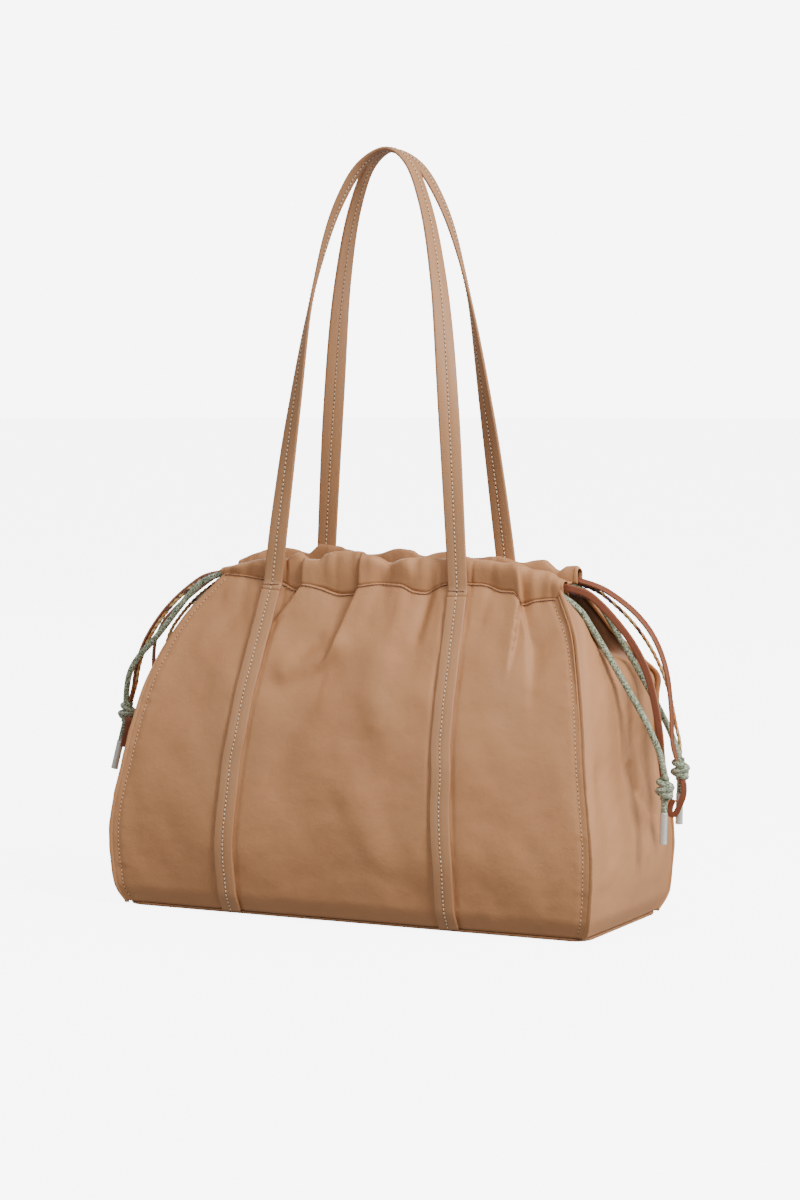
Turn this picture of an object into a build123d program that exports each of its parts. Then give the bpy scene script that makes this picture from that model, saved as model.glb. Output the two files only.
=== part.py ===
"""Drawstring shoulder bag in coated nylon: soft body, two loop handles, four knotted cord bundles.

Frame, in millimetres: the origin is the middle of the base, on the floor. X runs along the bag's
length, Y from its front (negative) to its back, Z up.
"""
from build123d import *

import math
import os
from dataclasses import astuple, dataclass

# --- Body -------------------------------------------------------------------------------------
BASE_LENGTH = 400.0       # between the corner seams, at the fullest level
BASE_DEPTH = 160.0        # between the corner seams, at the fullest level
BODY_HEIGHT = 250.0       # floor to the stitch line under the drawcord casing
FABRIC = 1.6              # nylon and lining together
PANEL_BULGE = 6.0         # how far the long panels stand out past their seams at their fullest
GUSSET_BULGE = 3.0        # the same for the end gussets
CORNER_TUCK = 8.0         # how far the walls draw in where they meet the base
FOOT_BULGE = 1.0          # how far the walls bow out where they meet the base
TURN_HEIGHT = 18.0        # level where the rounded lower edge ends
TURN_INSETS = (2.5, 2.0)  # how far its corners stand in from the fullest ones, along X and Y
BELLY_HEIGHT = 55.0       # level of the fullest cut
SIDE_DROP = 130.0         # from the stitch line down to where the walls begin to lean in
SIDE_INSETS = (9.0, 9.0)
SHOULDER_DROP = 85.0      # down to where the corner seams turn in
SHOULDER_INSETS = (17.0, 22.0)
SHOULDER_BULGE = 1.0      # how far the gussets still stand out there
RIDGE_DROP = 58.0         # down to the ridge where each gusset starts to fold in
RIDGE_INSETS = (25.0, 33.0)
GABLE_DROP = 32.0         # down to half way up the folded gussets
GABLE_INSETS = (36.0, 46.0)

# --- Mouth and drawcord casings ---------------------------------------------------------------
MOUTH_LENGTH = 282.0      # gathered length of each casing
MOUTH_END_DEPTH = 36.0    # front casing to back casing, outside, at their ends
MOUTH_BULGE = 6.0         # how far each casing bows out between its ends
MOUTH_SHIFT = 7.0         # the gathered mouth sits this far towards +X
GABLE_SHIFT = 3.0         # the cut half way up the folded gussets does so by this much
RIDGE_SHIFT = 1.0         # and the cut at the ridge by this much
CASING_HEIGHT = 24.0
CASING_DEPTH = 10.0       # outside thickness of a casing, tunnel included
HEM_HEIGHT = 7.0          # bound top edge of a gusset
GUSSET_FOLD = 62.0        # depth of a gusset's inward fold at the mouth
RIDGE_FOLD = 5.0          # the same fold at the ridge
GABLE_FOLD = 34.0         # the same fold half way up
FOLD_WIDTH = 4.0          # width of the blunt inner edge of the fold
RIDGE_TUCK = 3.0          # from a corner seam to the gusset's edge at the ridge, along Y
GABLE_TUCK = 6.0          # the same half way up
CUT_OVERRUN = 1.0         # how far a cut runs past the face that it opens

# --- Base -------------------------------------------------------------------------------------
WELT_HEIGHT = 2.6         # piping round the base
WELT_WIDTH = 2.4
WELT_GAP = 0.2            # from the piping up to the walls
BOARD_THICKNESS = 2.0     # stiffener that lies inside, on the base panel
BOARD_MARGIN = 9.0        # from the base panel's edge to the board's edge
CORNER_RADIUS = 14.0      # corners of the base, in plan

# --- Seams and straps -------------------------------------------------------------------------
SEAM_CLEARANCE = 0.3      # left between the sheets that meet at a seam
EDGE_GAP = FABRIC + SEAM_CLEARANCE   # from a corner seam's line to the sheets that it joins
SEAM_WIDTH = 6.0          # how far the pinched corner seams stand out
SEAM_THICKNESS = 1.6
STRAP_WIDTH = 16.0
STRAP_THICKNESS = 3.0
STITCH_GAP = 0.5          # from a sewn strap to the panel under it
STRAP_TOPS = (-87.0, 69.0)   # middles of the front straps at the casing's stitch line
STRAP_FEET = (-98.0, 84.0)   # middles of the front straps at the base

# --- Handles ----------------------------------------------------------------------------------
HANDLE_RISE = 326.0       # from the stitch line to the top of a loop
HANDLE_LEAN = 17.0        # how far the top of a loop leans in over the mouth
CROWN_SHIFT = 5.0         # middle of the front loop's crown, along X
LEG_SHAPE = ((0.17, 0.40), (0.34, 0.70), (0.54, 0.877), (0.76, 0.97))  # shares, inwards and up
LEG_SECTIONS = 18         # cuts that carry the strap's quarter turn up one leg
HINGE_GAP = 3.2           # from the end of the sewn strap to the line that the loop turns on
HINGE_OFFSET = 3.6        # from a casing's face to the line that the loop turns on

# --- Cords, knots and tips --------------------------------------------------------------------
BRAID_DIAMETER = 4.8      # braided cord
LACE_DIAMETER = 4.5       # width of the flat leather lace
TWIST_DIAMETER = 3.0      # thin twisted cord
BRAID_HEIGHT = 4.7        # height of each cord's line above the casing's stitch line
TWIST_HEIGHT = 9.4
LACE_HEIGHT = 14.0
TUNNEL_END_GAP = 1.0      # from the cords inside a casing to the casing's end
EXIT_GAP = 3.5            # from a casing's end to the start of its free cords
KNOT_DIAMETER = 16.0
KNOT_HEIGHT = 17.0
KNOT_ROUNDING = 5.5
TIP_DIAMETER = 5.8
TIP_LENGTH = 23.0
TIP_BORE_DEPTH = 9.0
TIP_CLEARANCE = 0.1       # round the cord inside its metal tip
TIP_ROUNDING = 0.5

FRONT, BACK = -1, 1
LEFT, RIGHT = -1, 1


@dataclass(frozen=True)
class Level:
    """One horizontal cut through the soft body."""

    height: float       # above the floor
    half_length: float  # from the middle to a corner seam, along X
    half_depth: float   # from the middle to a corner seam, along Y
    bulge: float        # how far the long panels bow out past their seams
    fold: float         # how far the middle of each gusset stands in from its seams
    tuck: float         # from a corner seam to the gusset's edge, along Y
    shift: float = 0.0  # how far the whole cut is moved along X

    def towards(self, other, height):
        """The cut at another height on the straight walls between this level and the other."""
        share = (height - self.height) / (other.height - self.height)
        pairs = zip(astuple(self), astuple(other))
        return Level(*[mine + share * (theirs - mine) for mine, theirs in pairs])


HALF_LENGTH = BASE_LENGTH / 2
HALF_DEPTH = BASE_DEPTH / 2
WALL_FOOT = Level(WELT_HEIGHT + WELT_GAP, HALF_LENGTH - CORNER_TUCK, HALF_DEPTH - CORNER_TUCK,
                  FOOT_BULGE, -FOOT_BULGE, EDGE_GAP)
MOUTH = Level(BODY_HEIGHT, MOUTH_LENGTH / 2, MOUTH_END_DEPTH / 2, MOUTH_BULGE, GUSSET_FOLD,
              CASING_DEPTH + FABRIC + 2 * SEAM_CLEARANCE, MOUTH_SHIFT)


def cut(height, insets, bulge, fold, tuck=EDGE_GAP, shift=0.0):
    """The cut at a height whose corners stand in from the fullest ones by two insets."""
    along, across = insets
    return Level(height, HALF_LENGTH - along, HALF_DEPTH - across, bulge, fold, tuck, shift)


LEVELS = [
    WALL_FOOT,
    cut(TURN_HEIGHT, TURN_INSETS, PANEL_BULGE / 2, -GUSSET_BULGE),
    cut(BELLY_HEIGHT, (0, 0), PANEL_BULGE, -GUSSET_BULGE),
    cut(BODY_HEIGHT - SIDE_DROP, SIDE_INSETS, PANEL_BULGE, -GUSSET_BULGE),
    cut(BODY_HEIGHT - SHOULDER_DROP, SHOULDER_INSETS, PANEL_BULGE, -SHOULDER_BULGE),
    cut(BODY_HEIGHT - RIDGE_DROP, RIDGE_INSETS, PANEL_BULGE, RIDGE_FOLD, RIDGE_TUCK, RIDGE_SHIFT),
    cut(BODY_HEIGHT - GABLE_DROP, GABLE_INSETS, PANEL_BULGE, GABLE_FOLD, GABLE_TUCK, GABLE_SHIFT),
    MOUTH,
]


def panel_offset(level, x):
    """Distance from the centre plane to a long panel's outer face, at x, on the panel's arc."""
    half = level.half_length - EDGE_GAP
    radius = (half**2 + level.bulge**2) / (2 * level.bulge)
    return level.half_depth + level.bulge - radius + math.sqrt(radius**2 - (x - level.shift) ** 2)


def arc_strip(level, side, outer, inner, margin):
    """Outline, in plan, of a bowed strip between two distances in from a long panel's face."""
    left = level.shift - level.half_length + margin
    right = level.shift + level.half_length - margin
    ends = level.half_depth
    middle = level.half_depth + level.bulge
    outer_arc = ThreePointArc((left, side * (ends - outer)), (level.shift, side * (middle - outer)),
                              (right, side * (ends - outer)))
    inner_arc = ThreePointArc((right, side * (ends - inner)), (level.shift, side * (middle - inner)),
                              (left, side * (ends - inner)))
    Line(outer_arc @ 1, inner_arc @ 0)
    Line(inner_arc @ 1, outer_arc @ 0)


def thick_outline(points, thickness):
    """Closed outline of an open polyline that is thickened to its left, with mitred corners."""
    spots = [Vector(*point) for point in points]
    normals = [(b - a).normalized().rotate(Axis.Z, 90) for a, b in zip(spots, spots[1:])]
    before = [normals[0]] + normals
    after = normals + [normals[-1]]
    inner = [spot + (n + m) * (thickness / (1 + n.dot(m)))
             for spot, n, m in zip(spots, before, after)]
    return [(v.X, v.Y) for v in spots + inner[::-1]]


def gusset_outline(level, end, inset=0.0):
    """Outline, in plan, of a gusset's folded wall, set inwards by inset."""
    seam = level.half_length - inset
    inner = seam - level.fold
    half_depth = level.half_depth - level.tuck
    crease = FOLD_WIDTH / 2
    points = [(seam, -half_depth), (inner, -crease), (inner, crease), (seam, half_depth)]
    outline = thick_outline(points, FABRIC)
    return [(level.shift + end * x, y) for x, y in outline]


def long_panel(side):
    """Front or back wall: one bowed sheet from the base to the casing's stitch line."""
    with BuildPart() as panel:
        for level in LEVELS:
            with BuildSketch(Plane.XY.offset(level.height)):
                with BuildLine():
                    arc_strip(level, side, 0, FABRIC, EDGE_GAP)
                make_face()
        loft(ruled=True)
    return panel.part


def gusset(end):
    """End wall, flat below and folded in like a gable under the mouth."""
    with BuildPart() as wall:
        for level in LEVELS:
            with BuildSketch(Plane.XY.offset(level.height)):
                with BuildLine():
                    Polyline(*gusset_outline(level, end), close=True)
                make_face()
        loft(ruled=True)
    return wall.part


def gusset_hem(end):
    """Binding on a gusset's folded top edge."""
    with BuildPart() as hem:
        with BuildSketch(Plane.XY.offset(MOUTH.height)):
            with BuildLine():
                Polyline(*gusset_outline(MOUTH, end), close=True)
            make_face()
        extrude(amount=HEM_HEIGHT)
    return hem.part


def casing(side):
    """Drawcord casing above a long panel: a doubled band with an open tunnel from end to end."""
    with BuildPart() as band:
        with BuildSketch(Plane.XY.offset(MOUTH.height)):
            with BuildLine():
                arc_strip(MOUTH, side, 0, CASING_DEPTH, 0)
            make_face()
        extrude(amount=CASING_HEIGHT)
        with BuildSketch(Plane.XY.offset(MOUTH.height + FABRIC)):
            with BuildLine():
                arc_strip(MOUTH, side, FABRIC, CASING_DEPTH - FABRIC, -CUT_OVERRUN)
            make_face()
        extrude(amount=CASING_HEIGHT - 2 * FABRIC, mode=Mode.SUBTRACT)
    return band.part


def tunnel_cord(side, diameter, height):
    """Stretch of a drawcord inside its casing."""
    ends = side * (MOUTH.half_depth - CASING_DEPTH / 2)
    middle = side * (MOUTH.half_depth + MOUTH.bulge - CASING_DEPTH / 2)
    half = MOUTH.half_length - TUNNEL_END_GAP
    level = MOUTH.height + height
    with BuildPart() as cord:
        with BuildLine() as path:
            ThreePointArc((MOUTH.shift - half, ends, level), (MOUTH.shift, middle, level),
                          (MOUTH.shift + half, ends, level))
        with BuildSketch(Plane(origin=path.line @ 0, z_dir=path.line % 0)):
            Circle(diameter / 2)
        sweep()
    return cord.part


def corner_seam(side, end):
    """Pinched seam that stands out along a corner, from the base to the casing."""
    out = Vector(end, side).normalized()
    across = out.rotate(Axis.Z, 90) * (SEAM_THICKNESS / 2)
    with BuildPart() as seam:
        for level in LEVELS:
            corner = Vector(level.shift + end * level.half_length, side * level.half_depth)
            tip = corner + out * SEAM_WIDTH
            corners = [corner - across, tip - across, tip + across, corner + across]
            with BuildSketch(Plane.XY.offset(level.height)):
                with BuildLine():
                    Polyline(*[(v.X, v.Y) for v in corners], close=True)
                make_face()
        loft(ruled=True)
    return seam.part


def sewn_strap(side, top, foot):
    """Strap that is sewn down a long panel, from the loop's root to the base."""
    strap_top = MOUTH.towards(LEVELS[-2], BODY_HEIGHT - HINGE_GAP)
    with BuildPart() as strap:
        for level in LEVELS[:-1] + [strap_top]:
            climb = max(0.0, (level.height - BELLY_HEIGHT) / (BODY_HEIGHT - BELLY_HEIGHT))
            x = foot + (top - foot) * climb
            face = panel_offset(level, x) + STITCH_GAP
            with BuildSketch(Plane.XY.offset(level.height)):
                with Locations((x, side * (face + STRAP_THICKNESS / 2))):
                    Rectangle(STRAP_WIDTH, STRAP_THICKNESS)
        loft(ruled=True)
    return strap.part


def hinge_depth():
    """Distance from the centre plane to the straight line that a handle turns on."""
    return max(panel_offset(MOUTH, top) for top in STRAP_TOPS) + HINGE_OFFSET


def leg_points(root, crown):
    """Points of one leg of a loop, from its root to just short of the crown."""
    return [(root + inward * (crown - root), rise * HANDLE_RISE) for inward, rise in LEG_SHAPE]


def handle():
    """Front loop: it leaves the panel flat and makes a quarter turn on its way to the crown."""
    lean = math.atan2(HANDLE_LEAN, HANDLE_RISE)
    up = Vector(0, math.sin(lean), math.cos(lean))
    loop_plane = Plane(origin=(0, -hinge_depth(), BODY_HEIGHT), x_dir=(1, 0, 0),
                       z_dir=Vector(1, 0, 0).cross(up))
    first, last = STRAP_TOPS
    with BuildPart() as loop:
        with BuildLine(loop_plane) as path:
            Spline((first, 0), *leg_points(first, CROWN_SHIFT), (CROWN_SHIFT, HANDLE_RISE),
                   *leg_points(last, CROWN_SHIFT)[::-1], (last, 0))
        for leg_start in (0, LEG_SECTIONS):
            for section in range(leg_start, leg_start + LEG_SECTIONS + 1):
                along = section / (2 * LEG_SECTIONS)
                climb = 1 - abs(1 - 2 * along)
                turn = math.radians(90 * climb**2 * (3 - 2 * climb))
                direction = path.line % along
                flat = direction.cross(loop_plane.z_dir)
                width = flat * math.cos(turn) + loop_plane.z_dir * math.sin(turn)
                with BuildSketch(Plane(origin=path.line @ along, x_dir=width, z_dir=direction)):
                    Rectangle(STRAP_WIDTH, STRAP_THICKNESS)
            loft(ruled=True)
    return loop.part


def base_plate(inset, bottom, thickness, cut_inset=None):
    """Rounded plate in the outline of the base, or a ring of it if cut_inset is given."""
    with BuildPart() as plate:
        with BuildSketch(Plane.XY.offset(bottom)):
            RectangleRounded(2 * (WALL_FOOT.half_length - inset), 2 * (WALL_FOOT.half_depth - inset),
                             CORNER_RADIUS - inset)
            if cut_inset is not None:
                RectangleRounded(2 * (WALL_FOOT.half_length - cut_inset),
                                 2 * (WALL_FOOT.half_depth - cut_inset),
                                 CORNER_RADIUS - cut_inset, mode=Mode.SUBTRACT)
        extrude(amount=thickness)
    return plate.part


def free_cord(name, points, diameter):
    """Tube along a cord's route: straight runs joined by arcs as large as the runs allow."""
    spots = [Vector(*point) for point in points]
    radii = []
    for before, corner, after in zip(spots, spots[1:], spots[2:]):
        turn = math.radians((corner - before).get_angle(after - corner))
        shorter = min((corner - before).length, (after - corner).length)
        radii.append(0.45 * shorter / math.tan(turn / 2))
    with BuildPart() as cord:
        with BuildLine() as path:
            FilletPolyline(*points, radius=radii)
        with BuildSketch(Plane(origin=points[0], z_dir=spots[1] - spots[0])):
            Circle(diameter / 2)
        sweep()
    length = path.wire().length
    swept = math.pi * diameter**2 / 4 * length
    print(f"{name}: length {length:.1f}, smallest radius {min(radii):.1f} "
          f"({min(radii) / diameter:.1f} diameters), volume {cord.part.volume / swept:.4f} of its tube")
    return cord.part


def knot(centre, tail_end):
    """Overhand knot as a rounded barrel, with the braid's short tail that ends in the tip."""
    tail = Vector(*tail_end) - Vector(*centre)
    with BuildPart() as ball:
        with BuildSketch(Plane(origin=centre, z_dir=tail)):
            Circle(KNOT_DIAMETER / 2)
        extrude(amount=KNOT_HEIGHT / 2, both=True)
        fillet(ball.edges(), KNOT_ROUNDING)
        with BuildSketch(Plane(origin=centre, z_dir=tail)):
            Circle(BRAID_DIAMETER / 2)
        extrude(amount=tail.length + TIP_BORE_DEPTH - TIP_CLEARANCE)
    return ball.part


def metal_tip(centre, tail_end):
    """Metal tip, bored for the end of the braid."""
    with BuildPart() as tip:
        with BuildSketch(Plane(origin=tail_end, z_dir=Vector(*tail_end) - Vector(*centre))):
            Circle(TIP_DIAMETER / 2)
        extrude(amount=TIP_LENGTH)
        fillet(tip.edges(), TIP_ROUNDING)
        with BuildSketch(Plane(origin=tail_end, z_dir=Vector(*tail_end) - Vector(*centre))):
            Circle(BRAID_DIAMETER / 2 + TIP_CLEARANCE)
        extrude(amount=TIP_BORE_DEPTH, mode=Mode.SUBTRACT)
    return tip.part


def save(part, label):
    """Label a finished piece and write it."""
    part.label = label
    export_step(part, f"parts/{label}.step")


# Routes of the free cords, from the casing's open end to the knot. The first point of each is
# where it leaves the tunnel.
RIGHT_EXIT = MOUTH.shift + MOUTH.half_length + EXIT_GAP
LEFT_EXIT = MOUTH.shift - MOUTH.half_length - EXIT_GAP
EXIT_DEPTH = MOUTH.half_depth - CASING_DEPTH / 2
BRAID_LEVEL = BODY_HEIGHT + BRAID_HEIGHT
TWIST_LEVEL = BODY_HEIGHT + TWIST_HEIGHT
LACE_LEVEL = BODY_HEIGHT + LACE_HEIGHT
BUNDLES = {
    "front_right": {
        "braid": [(RIGHT_EXIT, -EXIT_DEPTH, BRAID_LEVEL), (163, -14, 247), (174, -15, 229),
                  (184, -15, 207), (197, -15.5, 185), (211, -15, 163), (222, -15, 143),
                  (228.5, -15, 127), (230.5, -14.5, 114)],
        "lace": [(RIGHT_EXIT, -EXIT_DEPTH, LACE_LEVEL), (163, -11, 259.5), (176, -9, 246),
                 (190, -9, 229), (203, -9, 211), (214, -9, 191), (220, -9, 168),
                 (224, -9, 146), (225, -9, 129), (226, -9.5, 114)],
        "twist": [(RIGHT_EXIT, -EXIT_DEPTH, TWIST_LEVEL), (162, -10, 255), (175, -4.5, 243),
                  (188, -4, 227), (201, -4, 209), (211, -4, 189), (217, -4, 167),
                  (221, -4, 146), (225, -4.5, 129), (230, -7.5, 113)],
        "knot": ((229, -12, 107), (228.5, -12, 89)),
    },
    "back_right": {
        "braid": [(RIGHT_EXIT, EXIT_DEPTH, BRAID_LEVEL), (161, 14, 247), (170, 17, 232),
                  (179, 20, 214), (190, 22, 196), (202, 23, 176), (213, 24, 156),
                  (221, 25, 140), (226.5, 24.5, 124.5)],
        "lace": [(RIGHT_EXIT, EXIT_DEPTH, LACE_LEVEL), (163, 13, 260), (179, 13, 249),
                 (196, 14, 234), (210, 15, 215), (219, 16, 192), (222, 17, 168),
                 (223, 17, 147), (223, 17.5, 133), (223.5, 19, 121)],
        "twist": [(RIGHT_EXIT, EXIT_DEPTH, TWIST_LEVEL), (162, 16, 254), (174, 19, 243),
                  (188, 21, 229), (201, 22, 211), (212, 24, 191), (218, 27, 170),
                  (221, 29.5, 149), (225, 30.5, 134), (228, 29, 121.5)],
        "knot": ((227, 24, 117), (226.5, 24.5, 99)),
    },
    "front_left": {
        "braid": [(LEFT_EXIT, -EXIT_DEPTH, BRAID_LEVEL), (-150, -14, 250.5), (-166, -15, 237),
                  (-182, -15, 218), (-198, -15.5, 199), (-214, -16, 184), (-223, -16, 167),
                  (-223.5, -16, 148)],
        "lace": [(LEFT_EXIT, -EXIT_DEPTH, LACE_LEVEL), (-150, -11, 260), (-167, -10, 246),
                 (-185, -10, 230), (-200, -10, 212), (-212, -10, 193), (-218, -10, 172),
                 (-219, -11, 158), (-220, -12, 147)],
        "twist": [(LEFT_EXIT, -EXIT_DEPTH, TWIST_LEVEL), (-149, -9, 255), (-164, -5, 242),
                  (-181, -5, 226), (-196, -5, 208), (-208, -5, 189), (-214, -5, 172),
                  (-217, -5, 160), (-222, -6, 153), (-225, -10, 147)],
        "knot": ((-223, -15, 141), (-228.5, -16, 118.5)),
    },
    "back_left": {
        "braid": [(LEFT_EXIT, EXIT_DEPTH, BRAID_LEVEL), (-149, 15, 250), (-163, 19, 240),
                  (-180, 24, 228), (-195, 30, 212), (-208, 36, 194), (-219, 41, 175),
                  (-227, 45.5, 156), (-229, 48.5, 136)],
        "lace": [(LEFT_EXIT, EXIT_DEPTH, LACE_LEVEL), (-150, 14, 260), (-167, 17, 247),
                 (-185, 21, 233), (-204, 26, 220), (-220, 31, 206), (-229, 37, 188),
                 (-232, 42, 168), (-232.5, 42, 150), (-233.5, 43, 134)],
        "twist": [(LEFT_EXIT, EXIT_DEPTH, TWIST_LEVEL), (-149, 18, 256), (-165, 22, 244),
                  (-183, 27, 231), (-200, 33, 217), (-215, 38, 201), (-223, 44, 182),
                  (-227, 50, 163), (-230, 52, 148), (-234, 49.5, 134)],
        "knot": ((-231, 46, 128), (-231, 46.5, 110)),
    },
}
CORD_DIAMETERS = {"braid": BRAID_DIAMETER, "lace": LACE_DIAMETER, "twist": TWIST_DIAMETER}
CORD_HEIGHTS = {"braid": BRAID_HEIGHT, "lace": LACE_HEIGHT, "twist": TWIST_HEIGHT}

os.makedirs("parts", exist_ok=True)

with BuildPart() as base_panel:
    add(base_plate(WELT_WIDTH, 0, FABRIC))
save(base_panel.part, "base_panel")

with BuildPart() as base_board:
    add(base_plate(BOARD_MARGIN, FABRIC, BOARD_THICKNESS))
save(base_board.part, "base_board")

with BuildPart() as base_welt:
    add(base_plate(0, 0, WELT_HEIGHT, cut_inset=WELT_WIDTH))
save(base_welt.part, "base_welt")

for end, end_name in ((LEFT, "left"), (RIGHT, "right")):
    save(gusset(end), f"{end_name}_gusset")
    save(gusset_hem(end), f"{end_name}_gusset_hem")

for side, side_name in ((FRONT, "front"), (BACK, "back")):
    save(long_panel(side), f"{side_name}_panel")
    save(casing(side), f"{side_name}_casing")
    for cord_name, diameter in CORD_DIAMETERS.items():
        save(tunnel_cord(side, diameter, CORD_HEIGHTS[cord_name]), f"{side_name}_tunnel_{cord_name}")
    for end, end_name in ((LEFT, "left"), (RIGHT, "right")):
        save(corner_seam(side, end), f"{side_name}_{end_name}_seam")
        # the back straps are the front ones turned half round
        place = 0 if end * -side == LEFT else 1
        top = -side * STRAP_TOPS[place]
        foot = -side * STRAP_FEET[place]
        save(sewn_strap(side, top, foot), f"{side_name}_{end_name}_strap")

save(handle(), "front_handle")
# the back loop is the front one turned half round, as the back straps are
save(handle().rotate(Axis.Z, 180), "back_handle")

for bundle_name, bundle in BUNDLES.items():
    for cord_name, diameter in CORD_DIAMETERS.items():
        label = f"{bundle_name}_{cord_name}"
        save(free_cord(label, bundle[cord_name], diameter), label)
    save(knot(*bundle["knot"]), f"{bundle_name}_knot")
    save(metal_tip(*bundle["knot"]), f"{bundle_name}_tip")
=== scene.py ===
"""Looks of a drawstring shoulder bag in coated nylon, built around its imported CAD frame.

Lengths are metres in Blender. The makers below think in millimetres, because that is how a bag is
drawn, and turn their points into metres with MM at the end.
"""
import logging
import math
from collections.abc import Callable, Sequence
from dataclasses import dataclass
from enum import Enum

import bpy
import numpy as np
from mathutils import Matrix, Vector


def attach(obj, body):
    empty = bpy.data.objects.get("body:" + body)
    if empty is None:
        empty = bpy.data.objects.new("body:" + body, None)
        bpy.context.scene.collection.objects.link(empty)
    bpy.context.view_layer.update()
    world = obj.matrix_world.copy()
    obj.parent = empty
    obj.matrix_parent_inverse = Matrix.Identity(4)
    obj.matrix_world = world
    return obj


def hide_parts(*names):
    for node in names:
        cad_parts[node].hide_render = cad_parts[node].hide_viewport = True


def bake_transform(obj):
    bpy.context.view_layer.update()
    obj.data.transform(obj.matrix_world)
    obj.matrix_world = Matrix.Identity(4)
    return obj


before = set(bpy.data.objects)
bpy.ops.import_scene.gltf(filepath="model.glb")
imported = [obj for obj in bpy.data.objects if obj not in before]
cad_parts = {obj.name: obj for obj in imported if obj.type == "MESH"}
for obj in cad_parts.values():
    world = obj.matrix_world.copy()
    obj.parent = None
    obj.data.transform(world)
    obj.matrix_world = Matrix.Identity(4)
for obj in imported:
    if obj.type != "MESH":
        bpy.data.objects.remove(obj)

MM = 0.001
TAU = 2 * math.pi
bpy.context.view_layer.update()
log = logging.getLogger("bag")

Array = np.ndarray
Point = tuple[float, float, float]


class Side(Enum):
    """Long face of the bag, as the sign of its Y."""

    FRONT = -1
    BACK = 1


class End(Enum):
    """Short end of the bag, as the sign of its X."""

    LEFT = -1
    RIGHT = 1


# --- Numbers -----------------------------------------------------------------------------------


def smoothstep(low: float, high: float, at: Array | float) -> Array:
    """Ease from 0 at low to 1 at high."""
    share = np.clip((np.asarray(at, float) - low) / (high - low), 0, 1)
    return share * share * (3 - 2 * share)


def bell(away: Array, width: float) -> Array:
    """A smooth bump, 1 where away is 0 and near 0 past twice the width."""
    return np.exp(-((away / width) ** 2))


def eased(stations: Sequence[tuple[float, float]], at: Array | float) -> Array:
    """A smooth curve through stations that doesn't overshoot them.

    Args:
        stations: Pairs of place and value, in order of place.
        at: Places to read the curve at.

    Returns:
        The curve's value at each place, level before the first station and after the last.
    """
    place, value = np.array(stations, float).T
    gaps = np.diff(place)
    slopes = np.diff(value) / gaps
    tangents = np.zeros_like(value)
    same_way = slopes[:-1] * slopes[1:] > 0
    harmonic = 2 * slopes[:-1] * slopes[1:] / np.where(same_way, slopes[:-1] + slopes[1:], 1)
    tangents[1:-1] = np.where(same_way, harmonic, 0)
    tangents[0], tangents[-1] = slopes[0], slopes[-1]
    at = np.clip(np.asarray(at, float), place[0], place[-1])
    i = np.clip(np.searchsorted(place, at, side="right") - 1, 0, len(gaps) - 1)
    t = (at - place[i]) / gaps[i]
    rise = (1 + 2 * t) * (1 - t) ** 2 * value[i] + t * t * (3 - 2 * t) * value[i + 1]
    leaving, arriving = t * (1 - t) ** 2 * gaps[i], t * t * (1 - t) * gaps[i]
    return rise + leaving * tangents[i] - arriving * tangents[i + 1]


def unevenness(x: Array, y: Array, scale: float, seed: int) -> Array:
    """Smooth uneven height over a surface, the same each time for one seed.

    Args:
        x: First coordinate, in millimetres.
        y: Second coordinate, in millimetres.
        scale: Distance between one swell and the next, in millimetres.
        seed: Which pattern.

    Returns:
        Heights around 0, mostly from -1 to 1.
    """
    lattice = np.random.default_rng(seed).normal(size=(64, 64)) * 0.6
    a, b = np.asarray(x, float) / scale + 31.4, np.asarray(y, float) / scale + 17.2
    i, j = np.floor(a).astype(int), np.floor(b).astype(int)
    s, t = a - i, b - j
    s, t = s**3 * (s * (6 * s - 15) + 10), t**3 * (t * (6 * t - 15) + 10)

    def corner(di: int, dj: int) -> Array:
        """Lattice value at one corner of each point's cell."""
        return lattice[(i + di) % 64, (j + dj) % 64]

    low = corner(0, 0) * (1 - s) + corner(1, 0) * s
    high = corner(0, 1) * (1 - s) + corner(1, 1) * s
    return low * (1 - t) + high * t


def through(points: Sequence[Sequence[float]], count: int) -> Array:
    """Evenly spaced points on a smooth curve through a few given ones.

    Args:
        points: Points of the curve, two or three numbers each.
        count: How many points to return.

    Returns:
        The curve's points, one row each.
    """
    spots = np.array(points, float)
    spots = np.vstack([2 * spots[0] - spots[1], spots, 2 * spots[-1] - spots[-2]])
    runs = np.sqrt(np.linalg.norm(np.diff(spots, axis=0), axis=1))
    knots = np.concatenate([[0], np.cumsum(runs)])
    dense = []
    for i in range(1, len(spots) - 2):
        t = np.linspace(knots[i], knots[i + 1], 40, endpoint=False)[:, None]
        k, p = knots[i - 1 : i + 3], spots[i - 1 : i + 3]
        a = [((k[j + 1] - t) * p[j] + (t - k[j]) * p[j + 1]) / (k[j + 1] - k[j]) for j in range(3)]
        b = [((k[j + 2] - t) * a[j] + (t - k[j]) * a[j + 1]) / (k[j + 2] - k[j]) for j in range(2)]
        dense.append(((k[2] - t) * b[0] + (t - k[1]) * b[1]) / (k[2] - k[1]))
    return respaced(np.vstack(dense + [spots[-2:-1]]), count)


def travelled(line: Array) -> Array:
    """Distance along a line at each of its points."""
    return np.concatenate([[0], np.cumsum(np.linalg.norm(np.diff(line, axis=0), axis=1))])


def respaced(line: Array, count: int) -> Array:
    """The same line with a given number of points, evenly spaced along it."""
    along = travelled(line)
    places = np.linspace(0, along[-1], count)
    return np.stack([np.interp(places, along, column) for column in line.T], axis=1)


def unit(vectors: Array) -> Array:
    """Vectors at length one, along the last axis."""
    return vectors / np.maximum(np.linalg.norm(vectors, axis=-1, keepdims=True), 1e-12)


def directions(line: Array) -> Array:
    """Unit direction of a line at each of its points."""
    return unit(np.gradient(line, axis=0))


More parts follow.
